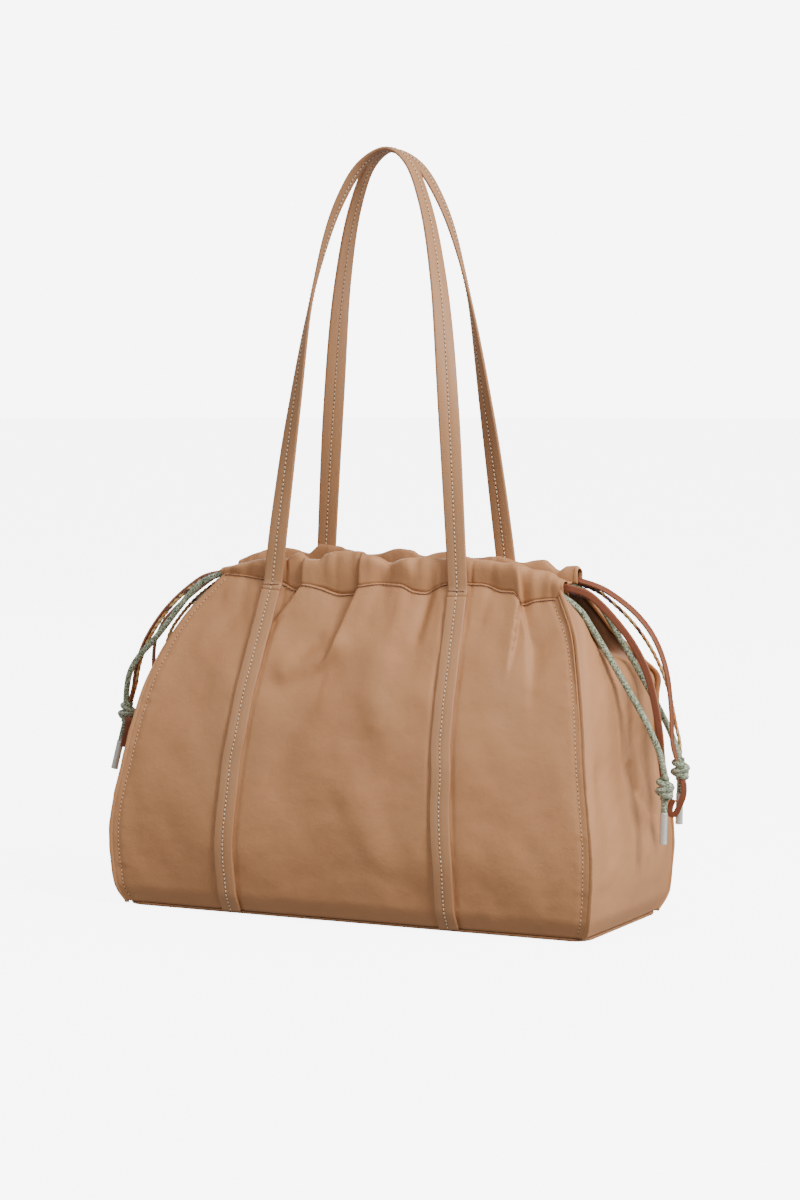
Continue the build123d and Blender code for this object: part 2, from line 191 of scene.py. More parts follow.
def carried_across(line: Array, start: Sequence[float]) -> Array:
    """A direction across a line that is carried along it without twisting.

    Args:
        line: Points of the line.
        start: Roughly the direction across it at its first point.

    Returns:
        One unit vector at each point, square to the line.
    """
    along = directions(line)
    across = np.zeros_like(line)
    vector = np.array(start, float)
    for i, ahead in enumerate(along):
        vector = vector - ahead * vector.dot(ahead)
        vector = vector / np.linalg.norm(vector)
        across[i] = vector
    return across


# --- Meshes ------------------------------------------------------------------------------------


def mesh_object(name: str, points: Array, faces: Sequence[Sequence[int]]) -> bpy.types.Object:
    """A smooth-shaded object from points in millimetres and faces.

    Args:
        name: Name of the object and its mesh.
        points: Corners, one row each, in millimetres.
        faces: Indices of the corners of each face.

    Returns:
        The object, linked to the scene, at the origin.
    """
    mesh = bpy.data.meshes.new(name)
    mesh.from_pydata((np.asarray(points, float) * MM).tolist(), [], [list(f) for f in faces])
    mesh.polygons.foreach_set("use_smooth", [True] * len(mesh.polygons))
    mesh.validate()
    mesh.update()
    made = bpy.data.objects.new(name, mesh)
    bpy.context.scene.collection.objects.link(made)
    return made


def add_map(made: bpy.types.Object, across: Array, along: Array) -> None:
    """Give a mesh the UV map "cloth" from two numbers for each corner point.

    Args:
        made: The object.
        across: First coordinate at each point.
        along: Second coordinate at each point.
    """
    layer = made.data.uv_layers.new(name="cloth")
    corner = np.zeros(len(made.data.loops), int)
    made.data.loops.foreach_get("vertex_index", corner)
    pairs = np.stack([np.ravel(across)[corner], np.ravel(along)[corner]], axis=1)
    layer.data.foreach_set("uv", pairs.astype(np.float32).ravel())


def add_mask(made: bpy.types.Object, name: str, values: Array) -> None:
    """Give a mesh one number at each point, for its material to read."""
    attribute = made.data.attributes.new(name, "FLOAT", "POINT")
    attribute.data.foreach_set("value", np.ravel(values).astype(np.float32))


def grid_faces(rows: int, columns: int, flip: bool = False, wrap: bool = False) -> list[list[int]]:
    """Quads between the points of a grid.

    Args:
        rows: Number of rows of points.
        columns: Number of points in a row.
        flip: Turn the faces the other way.
        wrap: Join each row's last point to its first.

    Returns:
        The corners of each quad.
    """
    last = columns if wrap else columns - 1
    r, c = np.meshgrid(np.arange(rows - 1), np.arange(last), indexing="ij")
    after = (c + 1) % columns
    quads = np.stack([r * columns + c, r * columns + after,
                      (r + 1) * columns + after, (r + 1) * columns + c], axis=-1)
    quads = quads.reshape(-1, 4)
    return (quads[:, ::-1] if flip else quads).tolist()


def closing_faces(rows: int, columns: int) -> list[list[int]]:
    """Quads that join the last ring of a closed loop of rings to its first."""
    last = (rows - 1) * columns
    return [[last + i, last + (i + 1) % columns, (i + 1) % columns, i] for i in range(columns)]


def swept(line: Array, ring: Array, across: Array, up: Array) -> Array:
    """One copy of a flat ring at each point of a line.

    Args:
        line: Middle of each copy.
        ring: The ring's points, each a distance across and a distance up.
        across: Direction across the line at each of its points.
        up: Direction up from it at each of its points.

    Returns:
        Points, shaped (points of the line, points of the ring, 3).
    """
    return line[:, None] + ring[None, :, :1] * across[:, None] + ring[None, :, 1:] * up[:, None]


def round_rings(line: Array, first: Array, second: Array, radius: Array | float,
                turn: Array) -> Array:
    """Round rings of points along a line, at angles from its first direction to its second."""
    spokes = (np.cos(turn)[None, :, None] * first[:, None]
              + np.sin(turn)[None, :, None] * second[:, None])
    return line[:, None] + radius * spokes


def full_turn(count: int) -> Array:
    """Evenly spaced angles round a ring."""
    return np.linspace(0, TAU, count, endpoint=False)


def squared_ring(half: float, edge: float, power: float, count: int) -> Array:
    """Points of an oval ring, half wide and edge high, that a power under 1 makes squarer."""
    turn = full_turn(count)
    across = np.sign(np.cos(turn)) * np.abs(np.cos(turn)) ** power
    return np.stack([across * half, np.sin(turn) * edge], axis=1)


def tube(name: str, rings: Array, flip: bool = False) -> bpy.types.Object:
    """A closed tube through rings of points, with both ends capped.

    Args:
        name: Name of the object.
        rings: Rings of points, shaped (rings, points in a ring, 3), in millimetres.
        flip: Turn the faces the other way.

    Returns:
        The object. Its UV map runs round the tube and along it, in millimetres along.
    """
    count, around, _ = rings.shape
    faces = grid_faces(count, around, flip=flip, wrap=True)
    first, last = list(range(around)), [(count - 1) * around + i for i in range(around)]
    faces += [first[::-1] if not flip else first, last if not flip else last[::-1]]
    made = mesh_object(name, rings.reshape(-1, 3), faces)
    centres = rings.mean(axis=1)
    along = travelled(centres)
    turns = np.broadcast_to(np.arange(around) / around, (count, around))
    add_map(made, turns, np.broadcast_to(along[:, None], (count, around)))
    return made


def deselect_all() -> None:
    """Leave edit mode and select nothing."""
    if bpy.context.object and bpy.context.object.mode != "OBJECT":
        bpy.ops.object.mode_set(mode="OBJECT")
    bpy.ops.object.select_all(action="DESELECT")


def only(made: bpy.types.Object) -> bpy.types.Object:
    """Select one object alone and make it active."""
    deselect_all()
    made.select_set(True)
    bpy.context.view_layer.objects.active = made
    return made


def place_in_mesh(made: bpy.types.Object) -> bpy.types.Object:
    """Move an object's place, turn and scale into its mesh."""
    only(made)
    bpy.ops.object.transform_apply(location=True, rotation=True, scale=True)
    return made


def apply_modifiers(made: bpy.types.Object) -> bpy.types.Object:
    """Apply every modifier of an object, in order."""
    only(made)
    for modifier in list(made.modifiers):
        bpy.ops.object.modifier_apply(modifier=modifier.name)
    return made


def cut_across(made: bpy.types.Object, axis: int, places: Sequence[float]) -> None:
    """Cut a mesh square to an axis at a few places, in millimetres."""
    only(made)
    bpy.ops.object.mode_set(mode="EDIT")
    normal = np.eye(3)[axis]
    for place in places:
        bpy.ops.mesh.select_all(action="SELECT")
        bpy.ops.mesh.bisect(plane_co=tuple(normal * place * MM), plane_no=tuple(normal))
    bpy.ops.object.mode_set(mode="OBJECT")


def soften_edges(made: bpy.types.Object, width: float, segments: int, least: float = 30) -> None:
    """Round the edges that bend by at least some degrees, by a width in millimetres."""
    soften = made.modifiers.new("edges", "BEVEL")
    soften.width, soften.segments, soften.limit_method = width * MM, segments, "ANGLE"
    soften.angle_limit = math.radians(least)
    apply_modifiers(made)


def thicken(made: bpy.types.Object, thickness: float, offset: float = -1.0) -> None:
    """Give a sheet its thickness, in millimetres, inwards from its face."""
    solidify = made.modifiers.new("thickness", "SOLIDIFY")
    solidify.thickness = thickness * MM
    solidify.offset = offset
    solidify.use_even_offset = False
    apply_modifiers(made)


def copied(model: bpy.types.Object, places: Array, along: Array, up: Array,
           stretch: float = 1.0) -> tuple[Array, list[list[int]]]:
    """Points and faces of a copy of a small model at each place.

    Args:
        model: Object whose mesh is copied. Its length lies along X and its height along Z.
        places: Where each copy goes, in millimetres.
        along: Direction of each copy's X.
        up: Rough direction of each copy's Z.
        stretch: How much each copy is stretched along X.

    Returns:
        The copies' points in millimetres, and their faces.
    """
    corners = np.array([v.co for v in model.data.vertices], float) / MM
    faces = [list(p.vertices) for p in model.data.polygons]
    x = unit(along)
    y = unit(np.cross(up, x))
    z = np.cross(x, y)
    points = (places[:, None] + corners[None, :, :1] * stretch * x[:, None]
              + corners[None, :, 1:2] * y[:, None] + corners[None, :, 2:] * z[:, None])
    moved = [[i * len(corners) + v for v in face] for i in range(len(places)) for face in faces]
    return points.reshape(-1, 3), moved


# --- Shader maths ------------------------------------------------------------------------------


def math_node(operation: str) -> Callable[..., "Wire"]:
    """A method that adds one Math node on a wire and the values it is given."""

    def method(self: "Wire", *others: "Wire | float") -> "Wire":
        """Add the node."""
        return self.recipe.node("ShaderNodeMath", {"operation": operation},
                                dict(enumerate((self, *others))))

    return method


class Wire:
    """A socket or a plain number whose arithmetic adds Math nodes."""

    def __init__(self, recipe: "Recipe", socket: bpy.types.NodeSocket | float) -> None:
        self.recipe = recipe
        self.socket = socket

    def __rsub__(self, other: float) -> "Wire":
        """Other minus this."""
        return Wire(self.recipe, other) - self

    __add__ = __radd__ = math_node("ADD")
    __sub__ = math_node("SUBTRACT")
    __mul__ = __rmul__ = math_node("MULTIPLY")
    __truediv__ = math_node("DIVIDE")
    power = math_node("POWER")
    sine = math_node("SINE")                # of an angle in radians
    size = math_node("ABSOLUTE")            # without its sign
    floor = math_node("FLOOR")              # whole number at or under it
    fraction = math_node("FRACT")           # what is left over that whole number
    wrapped = math_node("FLOORED_MODULO")   # remainder, never negative


class Recipe:
    """Builds one material from nodes."""

    def __init__(self, name: str) -> None:
        self.material = bpy.data.materials.new(name)
        self.material.use_nodes = True
        self.tree = self.material.node_tree
        self.shader = self.tree.nodes["Principled BSDF"]

    def node(self, kind: str, settings: dict | None = None, sockets: dict | None = None,
             output: int | str = 0) -> Wire:
        """Add a node.

        Args:
            kind: The node's type.
            settings: Its own settings, set before its sockets. "stops" fills a colour ramp.
            sockets: Value or wire for each input, by name or number.
            output: Which output to return.

        Returns:
            The output, as a wire.
        """
        made = self.tree.nodes.new(kind)
        for key, value in (settings or {}).items():
            if key == "stops":
                ramp = made.color_ramp
                while len(ramp.elements) < len(value):
                    ramp.elements.new(0.5)
                for element, (place, colour) in zip(ramp.elements, value):
                    element.position = place
                    element.color = (*colour, 1.0)
            else:
                setattr(made, key, value)
        for key, value in (sockets or {}).items():
            self.connect(value, made.inputs[key])
        return Wire(self, made.outputs[output])

    def connect(self, value: object, socket: bpy.types.NodeSocket) -> None:
        """Link a wire to a socket, or set the socket to a value."""
        if isinstance(value, Wire) and isinstance(value.socket, bpy.types.NodeSocket):
            self.tree.links.new(value.socket, socket)
            return
        plain = value.socket if isinstance(value, Wire) else value
        if hasattr(plain, "__len__") and len(plain) == 3 and socket.type == "RGBA":
            plain = (*plain, 1.0)
        socket.default_value = plain

    def set(self, **inputs: object) -> None:
        """Set inputs of the Principled shader, with spaces written as underscores."""
        for key, value in inputs.items():
            self.connect(value, self.shader.inputs[key.replace("_", " ")])

    def place(self) -> Wire:
        """Object coordinates, in metres."""
        return self.node("ShaderNodeTexCoord", output="Object")

    def cloth_map(self) -> tuple[Wire, Wire]:
        """The two coordinates of the UV map "cloth"."""
        uv = self.node("ShaderNodeUVMap", {"uv_map": "cloth"})
        return (self.node("ShaderNodeSeparateXYZ", None, {0: uv}, "X"),
                self.node("ShaderNodeSeparateXYZ", None, {0: uv}, "Y"))

    def noise(self, scale: float, detail: float = 2.0, roughness: float = 0.5,
              at: Wire | None = None) -> Wire:
        """Noise from 0 to 1, scale times per metre."""
        return self.node("ShaderNodeTexNoise", None,
                         {"Vector": at or self.place(), "Scale": scale, "Detail": detail,
                          "Roughness": roughness}, "Fac")

    def stretched(self, scale: tuple[float, float, float]) -> Wire:
        """Object coordinates with each axis scaled."""
        return self.node("ShaderNodeMapping", None, {"Vector": self.place(), "Scale": scale})

    def mix(self, factor: Wire | float, first: object, second: object) -> Wire:
        """Colour between two, by factor."""
        made = self.tree.nodes.new("ShaderNodeMix")
        made.data_type = "RGBA"
        self.connect(factor, made.inputs["Factor"])
        self.connect(first, made.inputs[6])
        self.connect(second, made.inputs[7])
        return Wire(self, made.outputs[2])

    def bands(self, place: Wire, stops: Sequence[tuple[float, "Colour"]]) -> Wire:
        """Colour of the band that a place from 0 to 1 lies in, each from its stop to the next."""
        made = self.node("ShaderNodeValToRGB", {"stops": stops}, {"Fac": place}, "Color")
        made.socket.node.color_ramp.interpolation = "CONSTANT"
        return made

    def rescaled(self, value: Wire, low: float, high: float, top: float = 1.0) -> Wire:
        """A value's place between low and high, as 0 to top."""
        return self.node("ShaderNodeMapRange", None, {0: value, 1: low, 2: high, 4: top})

    def bump(self, height: Wire, strength: float, distance: float,
             under: Wire | None = None) -> Wire:
        """A normal bent by a height.

        Args:
            height: The height, from 0 to 1.
            strength: How much of it is used.
            distance: What a height of 1 is, in millimetres.
            under: Another bump that this one lies on.

        Returns:
            The bent normal.
        """
        sockets = {"Height": height, "Strength": strength, "Distance": distance * MM}
        if under is not None:
            sockets["Normal"] = under
        return self.node("ShaderNodeBump", None, sockets)

    def attribute(self, name: str) -> Wire:
        """A number stored on the mesh."""
        return self.node("ShaderNodeAttribute", {"attribute_name": name}, None, "Fac")


# --- Finishes ----------------------------------------------------------------------------------

Colour = tuple[float, float, float]
TWIST_PLIES = 3
TWIST_LAY = 5.4        # length of cord in which a ply moves to its neighbour's place
BRAID_CROSSING = 2.7   # length of cord from one crossing of yarns to the next


def linear(red: int, green: int, blue: int) -> Colour:
    """A screen colour, 0 to 255 each, as the linear colour that shaders use."""
    def channel(value: int) -> float:
        """One channel."""
        share = value / 255
        return share / 12.92 if share <= 0.04045 else ((share + 0.055) / 1.055) ** 2.4
    return channel(red), channel(green), channel(blue)


def dimmed(colour: Colour, share: float) -> Colour:
    """A colour with a share of its light."""
    return tuple(share * c for c in colour)


@dataclass(frozen=True)
class CoatedNylon:
    """Thin nylon with a soft coating: fine plain weave, crinkle, mottled sheen."""

    name: str = "coated_nylon"
    light: Colour = (0.470, 0.218, 0.094)
    deep: Colour = (0.405, 0.184, 0.078)
    cool: Colour = (0.420, 0.208, 0.090)
    weave_pitch: float = 0.42
    crinkle: float = 0.5
    paints_shade: bool = False  # paints shade into the colour, by the mask "hollow", 1 deep inside a fold
    # colour of the painted shade deep inside a fold
    painted_shade: Colour = (0.075, 0.034, 0.016)

    def material(self) -> bpy.types.Material:
        """Build the material."""
        r = Recipe(self.name)
        across, along = r.cloth_map()
        broad = r.noise(9.0, 3.0, 0.55)
        fine = r.noise(46.0, 4.0, 0.6)
        cast = r.noise(14.0, 2.0, 0.5, r.stretched((1.0, 1.6, 0.55)))
        colour = r.mix(r.rescaled(broad * 0.6 + fine * 0.4, 0.3, 0.7), self.deep, self.light)
        colour = r.mix(r.rescaled(cast, 0.5, 0.7, 0.5), colour, self.cool)
        # painted shade: the colour darkens deep inside a fold, by the mask "hollow"
        if self.paints_shade:
            colour = r.mix(r.attribute("hollow") * 0.9, colour, self.painted_shade)
        turn = TAU / self.weave_pitch
        warp, weft = (across * turn).sine(), (along * turn).sine()
        weave = warp * weft * 0.5 + 0.5
        crease = r.noise(150.0, 5.0, 0.62, r.stretched((1.0, 1.0, 1.25)))
        pucker = r.noise(38.0, 3.0, 0.55)
        bent = r.bump(pucker, 0.6, 2.4 * self.crinkle)
        bent = r.bump(crease, 0.6, 0.8 * self.crinkle, bent)
        bent = r.bump(weave, 0.35, 0.06, bent)
        sheen = 0.48 + fine * 0.16 + broad * 0.06
        r.set(Base_Color=colour, Roughness=sheen, Normal=bent, Specular_IOR_Level=0.36)
        return r.material


@dataclass(frozen=True)
class StrapFinish:
    """Folded strap: smooth coated face, fine grain, slightly darker edges."""

    name: str = "strap_face"
    face: Colour = (0.425, 0.208, 0.095)
    edge: Colour = (0.355, 0.168, 0.075)

    def material(self) -> bpy.types.Material:
        """Build the material."""
        r = Recipe(self.name)
        rim = r.attribute("rim")
        wear = r.noise(60.0, 4.0, 0.6)
        tone = r.mix(wear * 0.55, self.face, dimmed(self.face, 0.86))
        colour = r.mix(rim * (0.55 + wear * 0.4), tone, self.edge)
        across, along = r.cloth_map()
        rib = (along * (TAU / 0.5)).sine() * (across * (TAU * 30)).sine() * 0.5 + 0.5
        grain = r.noise(420.0, 3.0, 0.5)
        bent = r.bump(r.noise(70.0, 3.0, 0.5), 0.35, 0.7)
        bent = r.bump(grain, 0.35, 0.09, bent)
        bent = r.bump(rib, 0.15, 0.04, bent)
        r.set(Base_Color=colour, Roughness=0.44 + wear * 0.14, Normal=bent,
              Specular_IOR_Level=0.4)
        return r.material


@dataclass(frozen=True)
class Thread:
    """Twisted sewing thread, also used for the needle holes, whose dark colour paints the shade in
    each hole.
    """

    name: str
    colour: Colour

    def material(self) -> bpy.types.Material:
        """Build the material."""
        r = Recipe(self.name)
        ply = r.noise(1600.0, 2.0, 0.5)
        colour = r.mix(ply * 0.7, self.colour, dimmed(self.colour, 0.62))
        r.set(Base_Color=colour, Roughness=0.6 + ply * 0.15, Normal=r.bump(ply, 0.6, 0.08),
              Sheen_Weight=0.2)
        return r.material


@dataclass(frozen=True)
class BraidFinish:
    """Round braid of pale green, white and dark green yarns, each lying over and under."""

    name: str = "braided_cord"
    strands: int = 20
    pitch: float = 1.35
    pale: Colour = (0.33, 0.38, 0.24)
    white: Colour = (0.60, 0.61, 0.46)
    dark: Colour = (0.05, 0.088, 0.045)
    mid: Colour = (0.20, 0.26, 0.145)

    def material(self) -> bpy.types.Material:
        """Build the material."""
        r = Recipe(self.name)
        round_it, along = r.cloth_map()
        half = self.strands / 2
        left = round_it * half + along / self.pitch
        right = round_it * half - along / self.pitch
        over = (left.floor() + right.floor()).wrapped(2)
        cell = r.node("ShaderNodeCombineXYZ", None, {0: left.floor() - right.floor(),
                                                     1: left.floor().wrapped(half)})
        step = r.node("ShaderNodeTexWhiteNoise", {"noise_dimensions": "2D"}, {"Vector": cell},
                      "Value")
        stops = [(0.0, self.pale), (0.24, self.white), (0.36, self.dark), (0.46, self.pale),
                 (0.66, self.mid), (0.86, self.white)]
        yarn = r.bands(step, stops)
        across = (left.fraction() - 0.5) * over + (right.fraction() - 0.5) * (1 - over)
        crown = 1 - across.size() * 2
        # painted shade: the colour darkens to half the dark yarn's in the grooves between yarns
        colour = r.mix(crown.power(0.35), dimmed(self.dark, 0.5), yarn)
        fibres = r.noise(2600.0, 2.0, 0.6)
        bent = r.bump(crown.power(0.6), 0.8, 0.35)
        bent = r.bump(fibres, 0.5, 0.06, bent)
        r.set(Base_Color=colour, Roughness=0.62 + fibres * 0.15, Normal=bent, Sheen_Weight=0.25)
        return r.material


@dataclass(frozen=True)
class LaceLeather:
    """Flat cut leather: glazed brown faces and pale raw edges."""

    name: str = "lace_leather"
    face: Colour = (0.245, 0.071, 0.031)
    dark: Colour = (0.13, 0.038, 0.019)
    raw: Colour = (0.34, 0.14, 0.065)

    def material(self) -> bpy.types.Material:
        """Build the material."""
        r = Recipe(self.name)
        cloud = r.noise(70.0, 4.0, 0.6)
        colour = r.mix(cloud * 0.75, self.face, self.dark)
        colour = r.mix(r.attribute("rim") * 0.8, colour, self.raw)
        grain = r.node("ShaderNodeTexVoronoi", None, {"Vector": r.place(), "Scale": 1500.0},
                       "Distance")
        bent = r.bump(grain, 0.35, 0.12)
        bent = r.bump(r.noise(300.0, 3.0, 0.5), 0.3, 0.15, bent)
        r.set(Base_Color=colour, Roughness=0.42 + cloud * 0.15, Normal=bent,
              Specular_IOR_Level=0.35)
        return r.material


@dataclass(frozen=True)
class TwistFinish:
    """Thin twisted cord whose plies change colour along it."""

    name: str = "twisted_cord"
    section: float = 17.0  # length of cord from one change of colours to the next
    orange: Colour = (0.60, 0.20, 0.035)
    gold: Colour = (0.68, 0.42, 0.15)
    plum: Colour = (0.16, 0.075, 0.13)
    brown: Colour = (0.13, 0.038, 0.016)

    def material(self) -> bpy.types.Material:
        """Build the material."""
        r = Recipe(self.name)
        round_it, along = r.cloth_map()
        ply = (round_it * TWIST_PLIES - along * (1 / TWIST_LAY)).wrapped(TWIST_PLIES)
        which = (ply.floor() / TWIST_PLIES + (along / self.section).floor() * 0.31).fraction()
        stops = [(0.0, self.orange), (0.25, self.brown), (0.45, self.gold), (0.62, self.plum),
                 (0.8, self.gold)]
        yarn = r.bands(which, stops)
        crown = 1 - (ply.fraction() - 0.5).size() * 2
        # painted shade: the colour darkens to a dim brown in the grooves between plies
        colour = r.mix(crown.power(0.5), dimmed(self.brown, 0.4), yarn)
        fibres = r.noise(2400.0, 2.0, 0.6)
        bent = r.bump(crown.power(0.6), 0.7, 0.4)
        bent = r.bump(fibres, 0.5, 0.07, bent)
        r.set(Base_Color=colour, Roughness=0.55 + fibres * 0.2, Normal=bent, Sheen_Weight=0.2)
        return r.material


@dataclass(frozen=True)
class BrushedTip:
    """Turned metal tip with fine brushing round it."""

    name: str = "brushed_tip"
    colour: Colour = linear(222, 220, 214)

    def material(self) -> bpy.types.Material:
        """Build the material."""
        r = Recipe(self.name)
        lines = r.noise(220.0, 5.0, 0.7, r.stretched((1.0, 1.0, 26.0)))
        smudge = r.noise(240.0, 3.0, 0.5)
        colour = r.mix(smudge * 0.5, self.colour, dimmed(self.colour, 0.72))
        r.set(Base_Color=colour, Metallic=0.5, Roughness=0.26 + lines * 0.16,
              Normal=r.bump(lines, 0.25, 0.05))
        return r.material


@dataclass(frozen=True)
class BoardFinish:
    """Pressed fibre board."""

    name: str = "fibre_board"
    colour: Colour = linear(96, 78, 62)

    def material(self) -> bpy.types.Material:
        """Build the material."""
        r = Recipe(self.name)
        fleck = r.noise(700.0, 4.0, 0.7)
        colour = r.mix(fleck, dimmed(self.colour, 0.6), self.colour)
        r.set(Base_Color=colour, Roughness=0.8 + fleck * 0.1, Normal=r.bump(fleck, 0.5, 0.15))
        return r.material


class Palette:
    """Every finish of the bag, built once."""

    def __init__(self) -> None:
        self.shell = CoatedNylon().material()
        # the gusset's nylon has painted shade deep in its cavity, by the mask "hollow"
        self.gusset = CoatedNylon("gusset_nylon", paints_shade=True).material()
        self.hem = CoatedNylon("hem_nylon", (0.60, 0.32, 0.15), (0.50, 0.25, 0.12),
                               (0.55, 0.30, 0.14), crinkle=0.25).material()
        # the piping is darker than the shell: its colour paints the shade under the bag's foot
        self.piping = CoatedNylon("piping_nylon", (0.34, 0.15, 0.064), (0.25, 0.11, 0.048),
                                  (0.30, 0.14, 0.06), crinkle=0.25).material()
        self.strap = StrapFinish().material()
        self.pale_thread = Thread("pale_thread", (0.80, 0.60, 0.38)).material()
        self.tan_thread = Thread("tan_thread", (0.66, 0.40, 0.21)).material()
        self.brown_thread = Thread("brown_thread", (0.22, 0.082, 0.03)).material()
        # painted shade: the needle holes are dark dimples that stand for the shade in each hole
        self.hole = Thread("needle_hole", (0.10, 0.040, 0.018)).material()
        self.braid = BraidFinish().material()
        self.lace = LaceLeather().material()
        self.twist = TwistFinish().material()
        self.tip = BrushedTip().material()
        self.board = BoardFinish().material()
        self.needle = Needle()


def dress(made: bpy.types.Object, material: bpy.types.Material) -> bpy.types.Object:
    """Give an object one material."""
    made.data.materials.clear()
    made.data.materials.append(material)
    return made


# --- The soft body -----------------------------------------------------------------------------


CORNER_CUT = 0.29   # share of a corner's radius from its point to the middle of its arc


@dataclass(frozen=True)
class Pleat:
    """A fold that starts at the gathers and fades down a panel.

    The cloth on one side of its edge lies over the cloth on the other.
    """

    edge: tuple[tuple[float, float], ...]  # (height, x) of the edge, from its lower end up
    over: int                              # side that lies on top: 1 towards +X, -1 towards -X
    lift: float                            # how far the top layer stands up, in millimetres
    reach: float                           # how far the lift runs back from the edge
    sink: float = 1.5                      # how far the lower layer is pressed down
    lap: float = 2.0                       # how far the top layer overhangs

    def away(self, x: Array, z: Array) -> Array:
        """Distance from the edge, positive on the side that lies on top."""
        slope = (self.edge[-1][1] - self.edge[0][1]) / (self.edge[-1][0] - self.edge[0][0])
        return self.over * (x - eased(self.edge, z)) / math.hypot(1, slope)

    def strength(self, z: Array) -> Array:
        """1 where the pleat is full, easing to 0 at its lower end."""
        low, high = self.edge[0][0], self.edge[-1][0]
        return smoothstep(low - 4, low + 0.62 * (high - low), z)

    def height(self, x: Array, z: Array) -> Array:
        """How far the pleat moves the cloth outwards."""
        away = self.away(x, z)
        top = self.lift * np.exp(-np.clip(away, 0, None) / self.reach)
        under = -self.sink * bell(np.clip(-away, 0, None), 7.0)
        step = 0.5 + 0.5 * np.tanh(away / 0.9)
        return self.strength(z) * (step * top + (1 - step) * under)

    def shift(self, x: Array, z: Array) -> Array:
        """How far the pleat moves the cloth sideways, so that its edge overhangs."""
        away = self.away(x, z)
        near = bell(np.clip(away, 0, None), 3.0) * (away > 0)
        return -self.over * self.lap * self.strength(z) * near


@dataclass(frozen=True)
class Dent:
    """A soft swell or hollow on a panel, drawn out along a line."""

    start: tuple[float, float]  # (x, z)
    end: tuple[float, float]
    height: float               # outwards if positive
    width: float

    def lift(self, x: Array, z: Array) -> Array:
        """How far it moves the cloth outwards."""
        a, b = np.array(self.start), np.array(self.end)
        run = b - a
        share = np.clip(((x - a[0]) * run[0] + (z - a[1]) * run[1]) / (run @ run), 0, 1)
        away = np.hypot(x - a[0] - share * run[0], z - a[1] - share * run[1])
        return self.height * bell(away, self.width) * (1 - 0.35 * share)


@dataclass
class BodyForm:
    """The bag's outer form, as smooth curves over the height of its walls."""

    half_length: tuple = ((2.8, 192), (18, 197.5), (55, 200), (120, 191), (165, 183), (192, 175),
                          (218, 164), (250, 141))
    half_depth: tuple = ((2.8, 72), (18, 78), (55, 80), (120, 71), (165, 58), (192, 47), (218, 34),
                         (250, 18))
    bulge: tuple = ((2.8, 1), (18, 3), (55, 6.5), (120, 7), (165, 7), (192, 6), (218, 6), (250, 6))
    shift: tuple = ((2.8, 0), (165, 0), (192, 1), (218, 3), (250, 7))
    # the folded gussets push the back corners out into ears: along X, then along Y
    ear_length: tuple = ((120, 0), (140, 2), (165, 7), (182, 12), (192, 8), (203, 3), (218, 0))
    ear_depth: tuple = ((100, 0), (120, 4), (140, 8), (165, 14), (182, 18), (195, 14), (205, 8),
                        (218, 1.5), (235, 0))
    ear_share: float = 0.7   # share of the half length from which an ear swells
    corner: float = 1.0      # radius of the body's corners, in plan
    foot: float = 2.8        # where the walls meet the base piping
    top: float = 250.0       # stitch line under the casing, before it is gathered
    strap_tops: tuple = (-87.0, 69.0)
    strap_feet: tuple = (-98.0, 84.0)
    strap_bend: float = 55.0

    def seam(self, end: End, side: Side, z: Array) -> Array:
        """Points of a corner seam, in millimetres."""
        back = CORNER_CUT * self.corner
        x = eased(self.shift, z) + end.value * (self.reach(side, z) - back)
        y = side.value * (eased(self.half_depth, z) + self.ear(side, z) - back)
        return np.stack([x, y, np.asarray(z, float)], axis=-1)

    def reach(self, side: Side, z: Array) -> Array:
        """Half the length of a long panel at a height."""
        return eased(self.half_length, z) + (side is Side.BACK) * eased(self.ear_length, z)

    def ear(self, side: Side, z: Array) -> Array:
        """How far a panel's corners stand out past its smooth face."""
        return (side is Side.BACK) * eased(self.ear_depth, z)

    def face(self, side: Side, x: Array, z: Array) -> Array:
        """Distance from the middle plane to a long panel's smooth face."""
        half = self.reach(side, z)
        u = np.clip(np.abs(x - eased(self.shift, z)) / half, 0, 1)
        inner = 1 - self.corner / half
        rounding = 0.5 * self.corner * np.clip((u - inner) / (1 - inner), 0, 1) ** 2
        ears = self.ear(side, z) * smoothstep(self.ear_share, 1, u)
        return eased(self.half_depth, z) + eased(self.bulge, z) * (1 - u**2) + ears - rounding

    def strap_x(self, which: int, z: Array) -> Array:
        """Middle of a front strap at a height, which is 0 for the left one and 1 for the right."""
        climb = np.clip((z - self.strap_bend) / (self.top - self.strap_bend), 0, 1)
        foot, top = self.strap_feet[which], self.strap_tops[which]
        return foot + (top - foot) * climb


